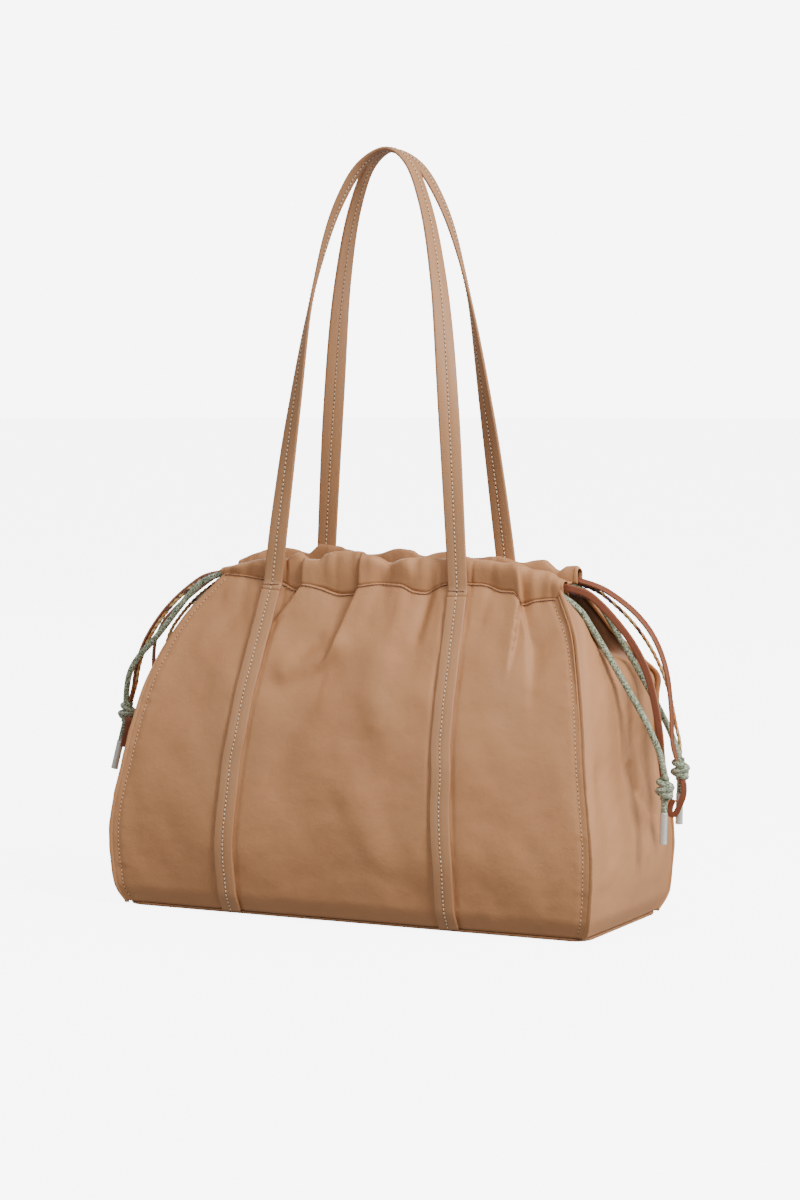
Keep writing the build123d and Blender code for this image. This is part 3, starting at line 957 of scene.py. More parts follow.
@dataclass
class LongPanel:
    """Front or back wall with its sewn straps, gathers and stitch line.

    The back wall is drawn in its own view, from behind, and then turned half round.
    """

    form: BodyForm
    side: Side
    palette: Palette
    pleats: tuple[Pleat, ...]
    dents: tuple[Dent, ...]
    stitch_line: tuple[tuple[float, float], ...]
    seed: int
    columns: int = 236
    rows: int = 150
    cloth: float = 0.8
    strap_width: float = 16.0
    strap_thickness: float = 2.8
    stitch_pitch: float = 3.3
    casing_row: float = 1.2     # how far under the casing its stitches lie
    casing_pitch: float = 3.1
    seam_row: float = 6.5       # how far beside a corner seam its stitches lie

    def name(self, what: str) -> str:
        """Name of one of this wall's pieces."""
        return f"{self.side.name.lower()}_{what}"

    def place(self, end: End) -> str:
        """Name of the bag's end that an end of this wall's own view is."""
        return End(-self.side.value * end.value).name.lower()

    def sew(self, name: str, line: Array, outward: Array, pitch: float,
            thread: bpy.types.Material) -> None:
        """Sew a row of stitches along a line of this wall's own view."""
        row = self.palette.needle.row(name, self.turned(line), self.turned(outward), pitch,
                                      thread, self.palette.hole)
        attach(row, "bag")

    def turned(self, points: Array) -> Array:
        """Points of this wall's own view in the bag's frame."""
        return points if self.side is Side.FRONT else points * np.array([-1.0, -1.0, 1.0])

    def span(self, z: Array) -> tuple[Array, Array]:
        """Lowest and highest x of the panel at a height, in its own view."""
        sign = 1 if self.side is Side.FRONT else -1
        back = CORNER_CUT * self.form.corner
        half = self.form.reach(self.side, z) - back
        middle = sign * eased(self.form.shift, z)
        return middle - half, middle + half

    def smooth_face(self, x: Array, z: Array) -> Array:
        """Distance from the middle plane to the face before it is creased."""
        return self.form.face(self.side, x if self.side is Side.FRONT else -x, z)

    def near_strap(self, x: Array, z: Array) -> Array:
        """Distance to the middle of the nearer strap."""
        return np.minimum(np.abs(x - self.form.strap_x(0, z)), np.abs(x - self.form.strap_x(1, z)))

    def creases(self, x: Array, z: Array) -> Array:
        """How far the cloth stands out of the smooth face."""
        rise = sum(p.height(x, z) for p in self.pleats) + sum(d.lift(x, z) for d in self.dents)
        gathers = smoothstep(190, 250, z) ** 2
        rise = rise + gathers * 1.6 * unevenness(x, z * 0.22, 13, self.seed)
        rise = rise + gathers * 0.6 * unevenness(x, z * 0.3, 6.5, self.seed + 1)
        slack = smoothstep(4, 40, z)
        rise = rise + slack * 2.3 * unevenness(x, z, 62, self.seed + 2)
        rise = rise + slack * 0.9 * unevenness(x + 0.6 * z, z * 0.8, 26, self.seed + 3)
        rise = rise + 0.28 * unevenness(x - 0.5 * z, z, 11, self.seed + 4)
        low, high = self.span(z)
        inset = np.minimum(x - low, high - x)
        rise = rise * smoothstep(5, 24, inset)
        pucker = 0.45 * unevenness(x * 0.2, z, 5.0, self.seed + 5)
        rise = rise + pucker * bell(inset - 8, 5) - 0.7 * bell(inset - self.seam_row, 2.0)
        beside = self.near_strap(x, z)
        rise = rise * (1 - 0.85 * bell(beside, 9))
        furrow = 1.0 + 0.5 * unevenness(x * 0.1, z, 9.0, self.seed + 6)
        return rise - 0.8 * furrow * bell(beside - 9.2, 1.7)

    def skin(self, x: Array, z: Array) -> Array:
        """Points of the creased face, in this wall's own view."""
        out = self.smooth_face(x, z) + self.creases(x, z)
        sideways = sum(p.shift(x, z) for p in self.pleats)
        return np.stack([x + sideways, -out, np.broadcast_to(z, x.shape)], axis=-1)

    def gathered(self, x: Array, level: Array) -> Array:
        """Height that cloth of a level has once the stitch line is gathered."""
        low, high = self.span(level)
        top_low, top_high = self.span(self.form.top)
        across = top_low + (top_high - top_low) * (x - low) / (high - low)
        share = (level - self.form.foot) / (self.form.top - self.form.foot)
        drop = self.form.top - eased(self.stitch_line, across)
        return level - drop * smoothstep(0.55, 1.0, share)

    def cloth_points(self, x: Array, level: Array) -> Array:
        """Points of the creased and gathered face, in this wall's own view."""
        points = self.skin(x, level)
        points[..., 2] = self.gathered(x, level)
        return points

    def panel(self) -> bpy.types.Object:
        """The wall's sheet, from the base to the stitch line under the casing."""
        share = np.linspace(0, 1, self.rows)[:, None]
        u = np.linspace(0, 1, self.columns)[None, :]
        level = self.form.foot + (self.form.top - self.form.foot) * share + 0 * u
        low, high = self.span(level)
        x = low + (high - low) * u
        points = self.cloth_points(x, level)
        made = mesh_object(self.name("panel_cloth"), self.turned(points).reshape(-1, 3),
                           grid_faces(self.rows, self.columns))
        add_map(made, x, points[..., 2])
        thicken(made, self.cloth)
        dress(made, self.palette.shell)
        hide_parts(self.name("panel"))
        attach(made, "bag")
        return made

    def strap_line(self, which: int, count: int) -> tuple[Array, Array]:
        """Middle line of a sewn strap on the cloth, and the outward direction along it.

        Args:
            which: 0 for the left strap, 1 for the right one, in the wall's own view.
            count: How many points.

        Returns:
            Points and unit vectors, in the wall's own view.
        """
        z = np.linspace(self.form.foot - 0.6, self.form.top - 1.5, count)
        x = self.form.strap_x(which, z)
        out = self.smooth_face(x, np.maximum(z, self.form.foot)) + 0.9
        lifted = 3.9 * smoothstep(205, 249, z)
        wander = 0.35 * unevenness(x * 0, z, 24, self.seed + 7 + which)
        line = np.stack([x + 2 * wander, -(out + lifted * 0.55 + wander), z], axis=1)
        along = directions(line)
        outward = unit(np.cross(np.array([1.0, 0, 0]), along)) * -1
        outward[outward[:, 1] > 0] *= -1
        return line, outward

    def strap(self, which: int) -> None:
        """One sewn strap with its rows of stitches."""
        line, outward = self.strap_line(which, 130)
        label = self.name(f"{self.place((End.LEFT, End.RIGHT)[which])}_strap")
        crossing = line[-2], outward[-2]
        line, outward = line[:-3], outward[:-3]
        made = ribbon(f"{label}_tape", self.turned(line), self.turned(outward), self.strap_width,
                      self.strap_thickness)
        dress(made, self.palette.strap)
        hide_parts(label)
        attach(made, "bag")
        face = line + outward * (self.strap_thickness / 2)
        self.sew(f"{label}_stitches", face, outward, self.stitch_pitch,
                 self.palette.pale_thread)
        self.cross_stitches(label, *crossing)

    def cross_stitches(self, label: str, middle: Array, outward: Array) -> None:
        """Row of the casing's stitches where it crosses a strap."""
        x = np.linspace(-1, 1, 30) * (self.strap_width / 2 - 1.2)
        line = (middle + x[:, None] * np.array([1.0, 0.0, 0.0])
                + outward * (self.strap_thickness / 2 + 0.25))
        self.sew(f"{label}_cross_stitches", line, np.tile(outward, (len(x), 1)),
                 self.casing_pitch, self.palette.brown_thread)

    def seam_stitches(self, end: End) -> None:
        """Row of stitches beside a corner seam."""
        z = np.linspace(7, 246, 160)
        low, high = self.span(z)
        x = low + self.seam_row if end is End.LEFT else high - self.seam_row
        self.sew(self.name(f"{self.place(end)}_seam_stitches"), self.cloth_points(x, z),
                 np.tile([0.0, -1.0, 0.0], (len(z), 1)), self.stitch_pitch,
                 self.palette.tan_thread)

    def gather_stitches(self) -> None:
        """Row of stitches under the casing."""
        low, high = self.span(self.form.top)
        x = np.linspace(low + 2, high - 2, 420)
        points = self.cloth_points(x, np.full_like(x, self.form.top - self.casing_row))
        points = points[self.near_strap(points[:, 0], self.form.top) > self.strap_width / 2]
        points[:, 1] -= 0.8
        outward = np.tile([0.0, -1.0, 0.15], (len(points), 1))
        self.sew(self.name("casing_stitches"), points, outward, self.casing_pitch,
                 self.palette.brown_thread)

    def build(self) -> None:
        """Make every piece of this wall."""
        self.panel()
        for which in (0, 1):
            self.strap(which)
        for end in End:
            self.seam_stitches(end)
        self.gather_stitches()


def ribbon(name: str, line: Array, outward: Array, width: float, thickness: float,
           groove: float = 0.35) -> bpy.types.Object:
    """A folded strap with rounded edges and a shallow groove where it is stitched.

    Args:
        name: Name of the object.
        line: Middle of the strap at each ring, in millimetres.
        outward: Direction that its face looks in at each ring.
        width: Its width.
        thickness: Its thickness.
        groove: Depth of the groove on its face.

    Returns:
        The strap, with a mask "rim" that is 1 on its edges.
    """
    along = directions(line)
    across = unit(np.cross(along, outward))
    outward = np.cross(across, along)
    half, edge = width / 2, thickness / 2
    flat = np.array([-1, -0.8, -0.45, -0.14, 0, 0.14, 0.45, 0.8, 1]) * (half - edge)
    crown = np.array([0.86, 0.97, 1.0, 0.97, 1.0 - groove / edge, 0.97, 1.0, 0.97, 0.86]) * edge
    turn = np.radians([55, 20, 0, -20, -55])
    right = np.stack([half - edge + edge * np.cos(turn), edge * np.sin(turn)], axis=1)
    top = np.stack([flat, crown], axis=1)
    ring = np.vstack([top, right, top[::-1] * [1, -1], -right])
    made = tube(name, swept(line, ring, across, outward), flip=True)
    rim = smoothstep(half - 1.6, half - 0.3, np.abs(ring[:, 0]))
    add_mask(made, "rim", np.broadcast_to(rim, (len(line), len(ring))))
    return made


class Needle:
    """Models of one stitch and one needle hole, made once and copied into rows."""

    LENGTH = 1.9      # of the thread's model, in millimetres
    LIFT = 0.14       # of a thread over the surface
    SHOWN = 0.66      # share of the pitch that the thread covers

    def __init__(self) -> None:
        self.thread = self.thread_model()
        self.hole = self.hole_model()

    def thread_model(self) -> bpy.types.Object:
        """A short thread that dips at both ends."""
        deselect_all()
        bpy.ops.mesh.primitive_cylinder_add(vertices=6, radius=0.43 * MM,
                                            depth=self.LENGTH * MM,
                                            rotation=(0, math.pi / 2, 0))
        made = place_in_mesh(bpy.context.object)
        cut_across(made, 0, (-0.45, 0.45))
        for vertex in made.data.vertices:
            share = min(1.0, abs(vertex.co.x) / (self.LENGTH / 2 * MM))
            vertex.co.y *= 1 - 0.4 * share**3
            vertex.co.z = vertex.co.z * (1 - 0.4 * share**3) - 0.46 * MM * share**2
        return made

    def hole_model(self) -> bpy.types.Object:
        """A flat dimple where the needle went in; its dark material paints the shade in the hole.
        """
        deselect_all()
        bpy.ops.mesh.primitive_uv_sphere_add(segments=10, ring_count=6, radius=0.5 * MM)
        made = bpy.context.object
        made.scale = (1.15, 0.9, 0.3)
        return place_in_mesh(made)

    def put_away(self) -> None:
        """Remove the two models."""
        bpy.data.objects.remove(self.thread)
        bpy.data.objects.remove(self.hole)

    def row(self, name: str, line: Array, outward: Array, pitch: float,
            thread: bpy.types.Material, hole: bpy.types.Material) -> bpy.types.Object:
        """A row of lockstitches along a line.

        Args:
            name: Name of the object.
            line: Points on the surface that is sewn, in millimetres.
            outward: Direction out of the surface at each point.
            pitch: Distance from one stitch to the next.
            thread: Material of the thread.
            hole: Material of the needle holes.

        Returns:
            The row as one object.
        """
        reach = travelled(line)
        count = max(2, int(reach[-1] / pitch))

        def at(places: Array, table: Array) -> Array:
            """Rows of a table at distances along the line."""
            return np.stack([np.interp(places, reach, column) for column in table.T], axis=1)

        points, faces = [], []
        for model, shift, lift, stretch in (
                (self.thread, 0.5, self.LIFT, pitch * self.SHOWN / self.LENGTH),
                (self.hole, 0.0, 0.0, 1.0)):
            spots = (np.arange(count) + shift) * reach[-1] / count
            up = unit(at(spots, outward))
            ahead = at(spots + 0.6, line) - at(spots - 0.6, line)
            made, shapes = copied(model, at(spots, line) + up * lift, ahead, up, stretch)
            base = sum(len(p) for p in points)
            points.append(made)
            faces.append([[base + v for v in face] for face in shapes])
        row = mesh_object(name, np.vstack(points), faces[0] + faces[1])
        row.data.materials.append(thread)
        row.data.materials.append(hole)
        kinds = [0] * len(faces[0]) + [1] * len(faces[1])
        row.data.polygons.foreach_set("material_index", kinds)
        return row


# --- Ends of the body --------------------------------------------------------------------------


@dataclass
class Gusset:
    """End wall: flat below, folded in like a gable between the gathered panels above."""

    form: BodyForm
    end: End
    palette: Palette
    folds: tuple[Dent | Pleat, ...] = ()   # x is across the wall from front to back
    seed: int = 40
    columns: int = 110
    rows: int = 150
    cloth: float = 0.8
    hem: float = 8.0
    hem_thickness: float = 2.2
    hem_over: float = 3.0   # how far the hem stands over the wall's top edge
    hollow: tuple = ((2.8, -1), (18, -3), (120, -4.5), (165, -5), (190, -4), (215, 0))
    # the cavity: share across the wall where it starts, by height; height of its lower rim, by
    # share; depth over the rim; how much it stays open towards the top
    start: tuple = ((118, 0.92), (142, 0.78), (158, 0.62), (176, 0.50), (192, 0.44), (206, 0.34),
                    (222, 0.24), (236, 0.14), (250, 0.04))
    rim: tuple = ((0.0, 212), (0.25, 207), (0.5, 201), (0.75, 194), (1.0, 180))
    depth: tuple = ((-5, 0), (0, 3), (8, 26), (20, 52), (40, 66), (60, 66))
    open: tuple = ((225, 1), (238, 0.82), (246, 0.3), (250, 0.04))
    lift: float = 5.0   # how far the hem stands over the seams' tops at its middle

    def label(self) -> str:
        """Name of this end."""
        return self.end.name.lower()

    def beyond(self, share: Array, z: Array) -> Array:
        """Share of the way from the cavity's start to the back seam."""
        start = eased(self.start, z)
        return np.clip((share - start) / (1 - start), 0, 1)

    def pocket(self, share: Array, z: Array) -> Array:
        """How deep the cavity is at a place, in millimetres."""
        beyond = self.beyond(share, z)
        over_rim = eased(self.depth, z - eased(self.rim, share))
        return over_rim * eased(self.open, z) * (
            smoothstep(0, 0.34, beyond) * smoothstep(0, 0.42, 1 - beyond))

    def shade(self, share: Array, z: Array) -> Array:
        """Mask of the painted shade in the cavity: 1 inside it, easing to 0 at its rims."""
        over_rim = smoothstep(0, 20, z - eased(self.rim, share))
        return over_rim * smoothstep(0.0, 0.22, self.beyond(share, z))

    def surface(self, share: Array, z: Array) -> Array:
        """Points of the wall.

        Args:
            share: Place across the wall, 0 at its front seam and 1 at its back one.
            z: Height of the level on the seams.

        Returns:
            Points in millimetres.
        """
        front, back = (self.form.seam(self.end, side, z) for side in (Side.FRONT, Side.BACK))
        across = share[..., None]
        points = front * (1 - across) + back * across
        middle = np.clip(1 - np.abs(2 * share - 1), 0, 1)
        into = eased(self.hollow, z) * np.sin(middle * math.pi / 2) + self.pocket(share, z)
        climb = self.lift * smoothstep(236, 250, z) * middle**0.5
        width = np.linalg.norm(back - front, axis=-1)
        wide = share * width
        slack = smoothstep(4, 40, z)
        edge = smoothstep(0, 0.12, np.minimum(share, 1 - share))
        wrinkles = (1.5 * unevenness(wide, z, 48, self.seed)
                    + 0.45 * unevenness(wide + 0.5 * z, z, 21, self.seed + 1)
                    + 0.3 * unevenness(wide, z, 9, self.seed + 2))
        rise = slack * edge * (1 - 0.5 * smoothstep(235, 250, z)) * wrinkles
        offset = wide - width / 2
        rise = rise + edge * sum(f.lift(offset, z) if isinstance(f, Dent) else f.height(offset, z)
                                 for f in self.folds)
        near = np.minimum(wide, width - wide)
        rise = rise - 4.2 * bell(near - 3.0, 4.0) * smoothstep(60, 150, z)
        points[..., 0] += self.end.value * (rise - into)
        points[..., 2] += climb
        return points

    def wall(self) -> bpy.types.Object:
        """The end wall's sheet."""
        z = np.linspace(self.form.foot, self.form.top - 1, self.rows)[:, None]
        share = np.linspace(0, 1, self.columns)[None, :]
        z, share = np.broadcast_arrays(z, share)
        points = self.surface(share, z)
        faces = grid_faces(self.rows, self.columns, flip=self.end is End.LEFT)
        made = mesh_object(f"{self.label()}_gusset_cloth", points.reshape(-1, 3), faces)
        add_map(made, points[..., 1], z)
        # mask of the painted shade that darkens the cavity's colour
        add_mask(made, "hollow", self.shade(share, z))
        thicken(made, self.cloth)
        dress(made, self.palette.gusset)
        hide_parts(f"{self.label()}_gusset")
        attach(made, "bag")
        return made

    def binding(self) -> bpy.types.Object:
        """Bound top edge of the folded wall."""
        share = np.linspace(0.02, 0.98, 110)
        z = np.full_like(share, self.form.top - 1)
        line = self.surface(share, z)
        low = self.surface(share, z - 5)
        down = unit(low - line)
        along = directions(line)
        outward = unit(np.cross(along, down)) * -self.end.value
        half = self.hem / 2
        ring = squared_ring(half, self.hem_thickness / 2, 0.5, 14)
        rings = swept(line + down * (half - self.hem_over), ring, down, outward)
        made = tube(f"{self.label()}_hem_binding", rings, flip=self.end is End.LEFT)
        dress(made, self.palette.hem)
        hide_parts(f"{self.label()}_gusset_hem")
        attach(made, "bag")
        return made

    def build(self) -> None:
        """Make every piece of this end."""
        self.wall()
        self.binding()


@dataclass
class CornerSeam:
    """Pinched edge of both walls that stands out along one corner."""

    form: BodyForm
    end: End
    side: Side
    palette: Palette
    width: float = 3.6
    thickness: float = 1.8
    sunk: float = 1.9
    seed: int = 90

    def build(self) -> bpy.types.Object:
        """Make the seam."""
        label = f"{self.side.name.lower()}_{self.end.name.lower()}_seam"
        z = np.linspace(1.4, self.form.top + 0.5, 170)
        line = self.form.seam(self.end, self.side, z)
        wander = unevenness(z * 0, z, 17, self.seed)
        out = unit(np.stack([np.full_like(z, self.end.value * 0.95),
                             self.side.value * (0.28 + 0.12 * wander), 0 * z], axis=1))
        thick = unit(np.cross(out, directions(line)))
        half = self.width / 2
        ring = squared_ring(half, self.thickness / 2, 0.45, 16)
        reach = 1 + 0.10 * unevenness(z * 0, z, 9, self.seed + 1)
        centre = line + out * (half * reach * smoothstep(-6, 10, z) - self.sunk)[:, None]
        made = tube(f"{label}_fold", swept(centre, ring, out * reach[:, None], thick), flip=True)
        dress(made, self.palette.shell)
        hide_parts(label)
        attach(made, "bag")
        return made


@dataclass
class Casing:
    """Doubled band above a panel that the drawcords run through, gathered into a frill."""

    wall: LongPanel
    frill: tuple[tuple[float, float], ...]
    seed: int
    columns: int = 420
    around: int = 46
    cloth: float = 0.8
    depth: float = 9.5
    overhang: float = 3.0   # how far the band runs past the panel at each end

    def ruffle(self, x: Array) -> Array:
        """Fine gathers along the band."""
        return (unevenness(x, 0 * x, 14, self.seed) + 0.4 * unevenness(x, 0 * x, 6, self.seed + 1))

    def section(self, x: Array) -> Array:
        """Loops of points round the band, one at each x, in the wall's own view."""
        wall = self.wall
        foot = wall.skin(x, np.full_like(x, wall.form.top))
        smooth = wall.smooth_face(x, np.full_like(x, wall.form.top))
        low, high = eased(wall.stitch_line, x), eased(self.frill, x)
        ruffle = self.ruffle(x)
        turn = np.linspace(0, 1, self.around)[None, :]
        # 0 is the stitch line outside, about 0.45 the top edge, 1 the stitch line inside
        angle = turn * math.pi
        tall = (high - low)[:, None]
        rise = np.sin(angle) ** 0.75 * tall
        swell = 1 + 0.3 * ruffle[:, None]
        inwards = self.depth * (0.5 - 0.5 * np.sign(np.cos(angle)) * np.abs(np.cos(angle)) ** 0.65)
        belly = 1.9 * swell * np.sin(2 * np.clip(angle, 0, math.pi / 2))
        face = -foot[:, 1:2] * (1 - turn) + smooth[:, None] * turn
        hidden = 1.4 * unevenness(x[:, None] + 0 * turn, tall * turn * 0.9, 10, self.seed + 2)
        free = np.sin(angle)
        y = -(face - 0.1 - inwards + belly) + hidden * free
        lean = 1.4 * ruffle[:, None] * free
        sway = 1.6 * unevenness(x[:, None] + 0 * turn, rise, 12, self.seed + 3) * free
        xs = foot[:, :1] * (1 - turn) + x[:, None] * turn + sway
        z = low[:, None] - 0.8 + rise + 0.8 * ruffle[:, None] * free
        return np.stack([xs + 0 * turn, y - lean, z], axis=-1)

    def build(self) -> None:
        """Make the band."""
        low, high = self.wall.span(self.wall.form.top)
        x = np.linspace(low - self.overhang, high + self.overhang, self.columns)
        points = self.section(x)
        name = self.wall.side.name.lower()
        made = mesh_object(f"{name}_casing_cloth", self.wall.turned(points).reshape(-1, 3),
                           grid_faces(self.columns, self.around, flip=True))
        add_map(made, points[..., 0], np.broadcast_to(
            np.linspace(0, 60, self.around)[None, :], points.shape[:2]))
        thicken(made, self.cloth)
        dress(made, self.wall.palette.shell)
        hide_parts(f"{name}_casing")
        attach(made, "bag")


@dataclass
class Handle:
    """Loop handle: it leaves the panel flat and makes a quarter turn on its way to the top."""

    wall: LongPanel
    crown: float = 5.0
    rise: float = 326.0
    lean: float = 17.0
    hinge_depth: float = 26.41
    hinge_height: float = 250.0
    shape: tuple = ((0.17, 0.40), (0.34, 0.70), (0.54, 0.877), (0.76, 0.97))
    rings: int = 300
    blend_top: float = 288.0

    def line(self) -> tuple[Array, Array]:
        """Middle line and face direction of the loop, in its own view."""
        first, last = self.wall.form.strap_tops
        left = [(first + i * (self.crown - first), r * self.rise) for i, r in self.shape]
        right = [(last + i * (self.crown - last), r * self.rise) for i, r in self.shape]
        flat = through([(first, 0), *left, (self.crown, self.rise), *right[::-1], (last, 0)],
                       self.rings)
        angle = math.atan2(self.lean, self.rise)
        up = np.array([0, math.sin(angle), math.cos(angle)])
        normal = np.array([0, -math.cos(angle), math.sin(angle)])
        start = np.array([0, -self.hinge_depth, self.hinge_height])
        line = start + flat[:, :1] * np.array([1.0, 0, 0]) + flat[:, 1:] * up
        along = directions(line)
        share = np.linspace(0, 1, len(line))
        climb = 1 - np.abs(1 - 2 * share)
        turn = (math.pi / 2 * climb**2 * (3 - 2 * climb))[:, None]
        level = np.cross(along, normal)
        width = level * np.cos(turn) + normal * np.sin(turn)
        outward = unit(np.cross(width, along))
        near = 1 - smoothstep(0, 34, line[:, 2] - self.hinge_height)
        ends = []
        for which, half in ((0, share < 0.5), (1, share >= 0.5)):
            sewn, face = self.wall.strap_line(which, 130)
            line[half] += (sewn[-1] - line[half][0 if which == 0 else -1]) * near[half, None]
            ends.append((sewn[-4:-1], face[-4:-1]))
        (first_line, first_face), (last_line, last_face) = ends
        return (np.vstack([first_line, line, last_line[::-1]]),
                np.vstack([first_face, outward, last_face[::-1]]))

    def build(self) -> None:
        """Make the loop, its stitches and its short hidden roots."""
        wall, palette = self.wall, self.wall.palette
        name = wall.name("handle")
        line, outward = self.line()
        wave = unevenness(np.arange(len(line)) * 1.0, 0 * line[:, 0], 46, 5 + wall.side.value)
        sway = 0.6 * wave * smoothstep(2, 30, line[:, 2] - self.hinge_height)
        line = line + outward * sway[:, None]
        loop = ribbon(f"{name}_tape", wall.turned(line), wall.turned(outward), wall.strap_width,
                      wall.strap_thickness)
        dress(loop, palette.strap)
        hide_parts(name)
        rows = [loop]
        for face, label in ((1, "outer"), (-1, "inner")):
            surface = line + outward * (face * wall.strap_thickness / 2)
            row = palette.needle.row(
                f"{name}_{label}_stitches", wall.turned(surface), wall.turned(outward * face),
                wall.stitch_pitch, palette.pale_thread, palette.hole)
            rows.append(row)
        for piece in rows:
            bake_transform(piece)


@dataclass
class Base:
    """Base panel, its stiffener and the piping round it."""

    form: BodyForm
    palette: Palette
    half_length: float = 192.0
    half_depth: float = 72.0
    corner: float = 14.0
    piping: float = 2.6

    def outline(self, inset: float, count: int = 12) -> Array:
        """Points round the base, inset by a distance, counterclockwise from above."""
        radius = self.corner - inset
        spots = []
        for quarter in range(4):
            x = (self.half_length - inset - radius) * (1 if quarter in (0, 3) else -1)
            y = (self.half_depth - inset - radius) * (1 if quarter < 2 else -1)
            turn = np.linspace(0, math.pi / 2, count) + quarter * math.pi / 2
            spots.append(np.stack([x + radius * np.cos(turn), y + radius * np.sin(turn)], axis=1))
        return np.vstack(spots)

    def plate(self, name: str, node: str, inset: float, bottom: float, thickness: float,
              material: bpy.types.Material) -> bpy.types.Object:
        """A rounded plate, drawn from a cube."""
        deselect_all()
        bpy.ops.mesh.primitive_cube_add(size=1, location=(0, 0, (bottom + thickness / 2) * MM))
        made = bpy.context.object
        made.name = name
        made.scale = (2 * (self.half_length - inset) * MM, 2 * (self.half_depth - inset) * MM,
                      thickness * MM)
        place_in_mesh(made)
        only(made)
        bpy.ops.object.mode_set(mode="EDIT")
        bpy.ops.mesh.select_mode(type="EDGE")
        bpy.ops.mesh.select_all(action="DESELECT")
        bpy.ops.object.mode_set(mode="OBJECT")
        for edge in made.data.edges:
            a, b = (made.data.vertices[i].co for i in edge.vertices)
            edge.select = abs(a.z - b.z) > 0.5 * thickness * MM
        bpy.ops.object.mode_set(mode="EDIT")
        bpy.ops.mesh.bevel(offset=(self.corner - inset) * MM, segments=10, affect="EDGES")
        bpy.ops.object.mode_set(mode="OBJECT")
        soften_edges(made, 0.3, 2)
        dress(made, material)
        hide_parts(node)
        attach(made, "bag")
        return made

    def welt(self) -> bpy.types.Object:
        """Piping round the foot of the walls."""
        ring = self.outline(self.piping / 2 - 0.2, 10)
        line = respaced(np.vstack([ring, ring[:1]]), 380)[:-1]
        ahead = np.roll(line, -1, axis=0) - np.roll(line, 1, axis=0)
        out = unit(np.stack([ahead[:, 1], -ahead[:, 0]], axis=1))
        around = 12
        turn = full_turn(around)
        radius = self.piping / 2
        swell = 1 + 0.05 * unevenness(np.arange(len(line)) * 2.7, 0 * line[:, 0], 14, 71)
        rings = np.concatenate([
            line[:, None] + out[:, None] * (radius * swell[:, None] * np.cos(turn))[..., None],
            (radius + radius * np.sin(turn) * np.minimum(1, swell[:, None]))[..., None]], axis=-1)
        count = len(line)
        points = rings.reshape(-1, 3)
        faces = grid_faces(count, around, wrap=True) + closing_faces(count, around)
        made = mesh_object("base_piping", points, faces)
        along = np.broadcast_to(np.arange(count)[:, None] * 2.8, (count, around))
        add_map(made, np.broadcast_to(np.arange(around) * 0.7, (count, around)), along)
        dress(made, self.palette.piping)
        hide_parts("base_welt")
        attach(made, "bag")
        return made

    def build(self) -> None:
        """Make the base."""
        self.plate("base_cloth", "base_panel", 2.4, 0.0, 1.6, self.palette.shell)
        self.plate("base_stiffener", "base_board", 9.0, 1.7, 1.9, self.palette.board)
        self.welt()


# --- Cords -------------------------------------------------------------------------------------


def spline_points(points: Sequence[Point], count: int) -> Array:
    """Evenly spaced points of the smooth curve that a cord follows, read from a NURBS curve.

    Args:
        points: Control points, in millimetres.
        count: How many points to return.

    Returns:
        The curve's points, in millimetres.
    """
    curve = bpy.data.curves.new("route", "CURVE")
    curve.dimensions = "3D"
    spline = curve.splines.new("NURBS")
    spline.points.add(len(points) - 1)
    for spot, point in zip(spline.points, points):
        spot.co = (*[c * MM for c in point], 1.0)
    spline.order_u = 3
    spline.use_endpoint_u = True
    spline.resolution_u = 24
    carrier = bpy.data.objects.new("route", curve)
    bpy.context.scene.collection.objects.link(carrier)
    mesh = bpy.data.meshes.new_from_object(carrier)
    line = np.array([v.co for v in mesh.vertices], float) / MM
    bpy.data.objects.remove(carrier)
    bpy.data.meshes.remove(mesh)
    bpy.data.curves.remove(curve)
    return respaced(line, count)


def cord_rings(line: Array, radius: Array, turn: Array) -> Array:
    """Rings of a free cord, carried along its line without twisting."""
    first = carried_across(line, (0, 1, 0.2))
    return round_rings(line, first, np.cross(directions(line), first), radius, turn)


def braid_tube(name: str, line: Array, diameter: float, palette: Palette) -> bpy.types.Object:
    """Round braided cord along a line, its surface rising over each crossing."""
    turn, crossings = full_turn(24), 5
    reach = travelled(line)[:, None] / BRAID_CROSSING
    a, b = turn[None, :] / TAU * crossings + reach, turn[None, :] / TAU * crossings - reach
    relief = 0.5 + 0.5 * np.cos(TAU * a) * np.cos(TAU * b)
    radius = (diameter / 2 - 0.1 + 0.1 * relief)[..., None]
    made = tube(name, cord_rings(line, radius, turn))
    return dress(made, palette.braid)


def twist_tube(name: str, line: Array, diameter: float, palette: Palette) -> bpy.types.Object:
    """Twisted cord along a line: three plies that wind round each other."""
    turn = full_turn(21)
    phase = turn[None, :] * TWIST_PLIES - travelled(line)[:, None] * (TAU / TWIST_LAY)
    radius = (diameter / 2 * (0.86 + 0.14 * np.cos(phase)))[..., None]
    made = tube(name, cord_rings(line, radius, turn))
    return dress(made, palette.twist)


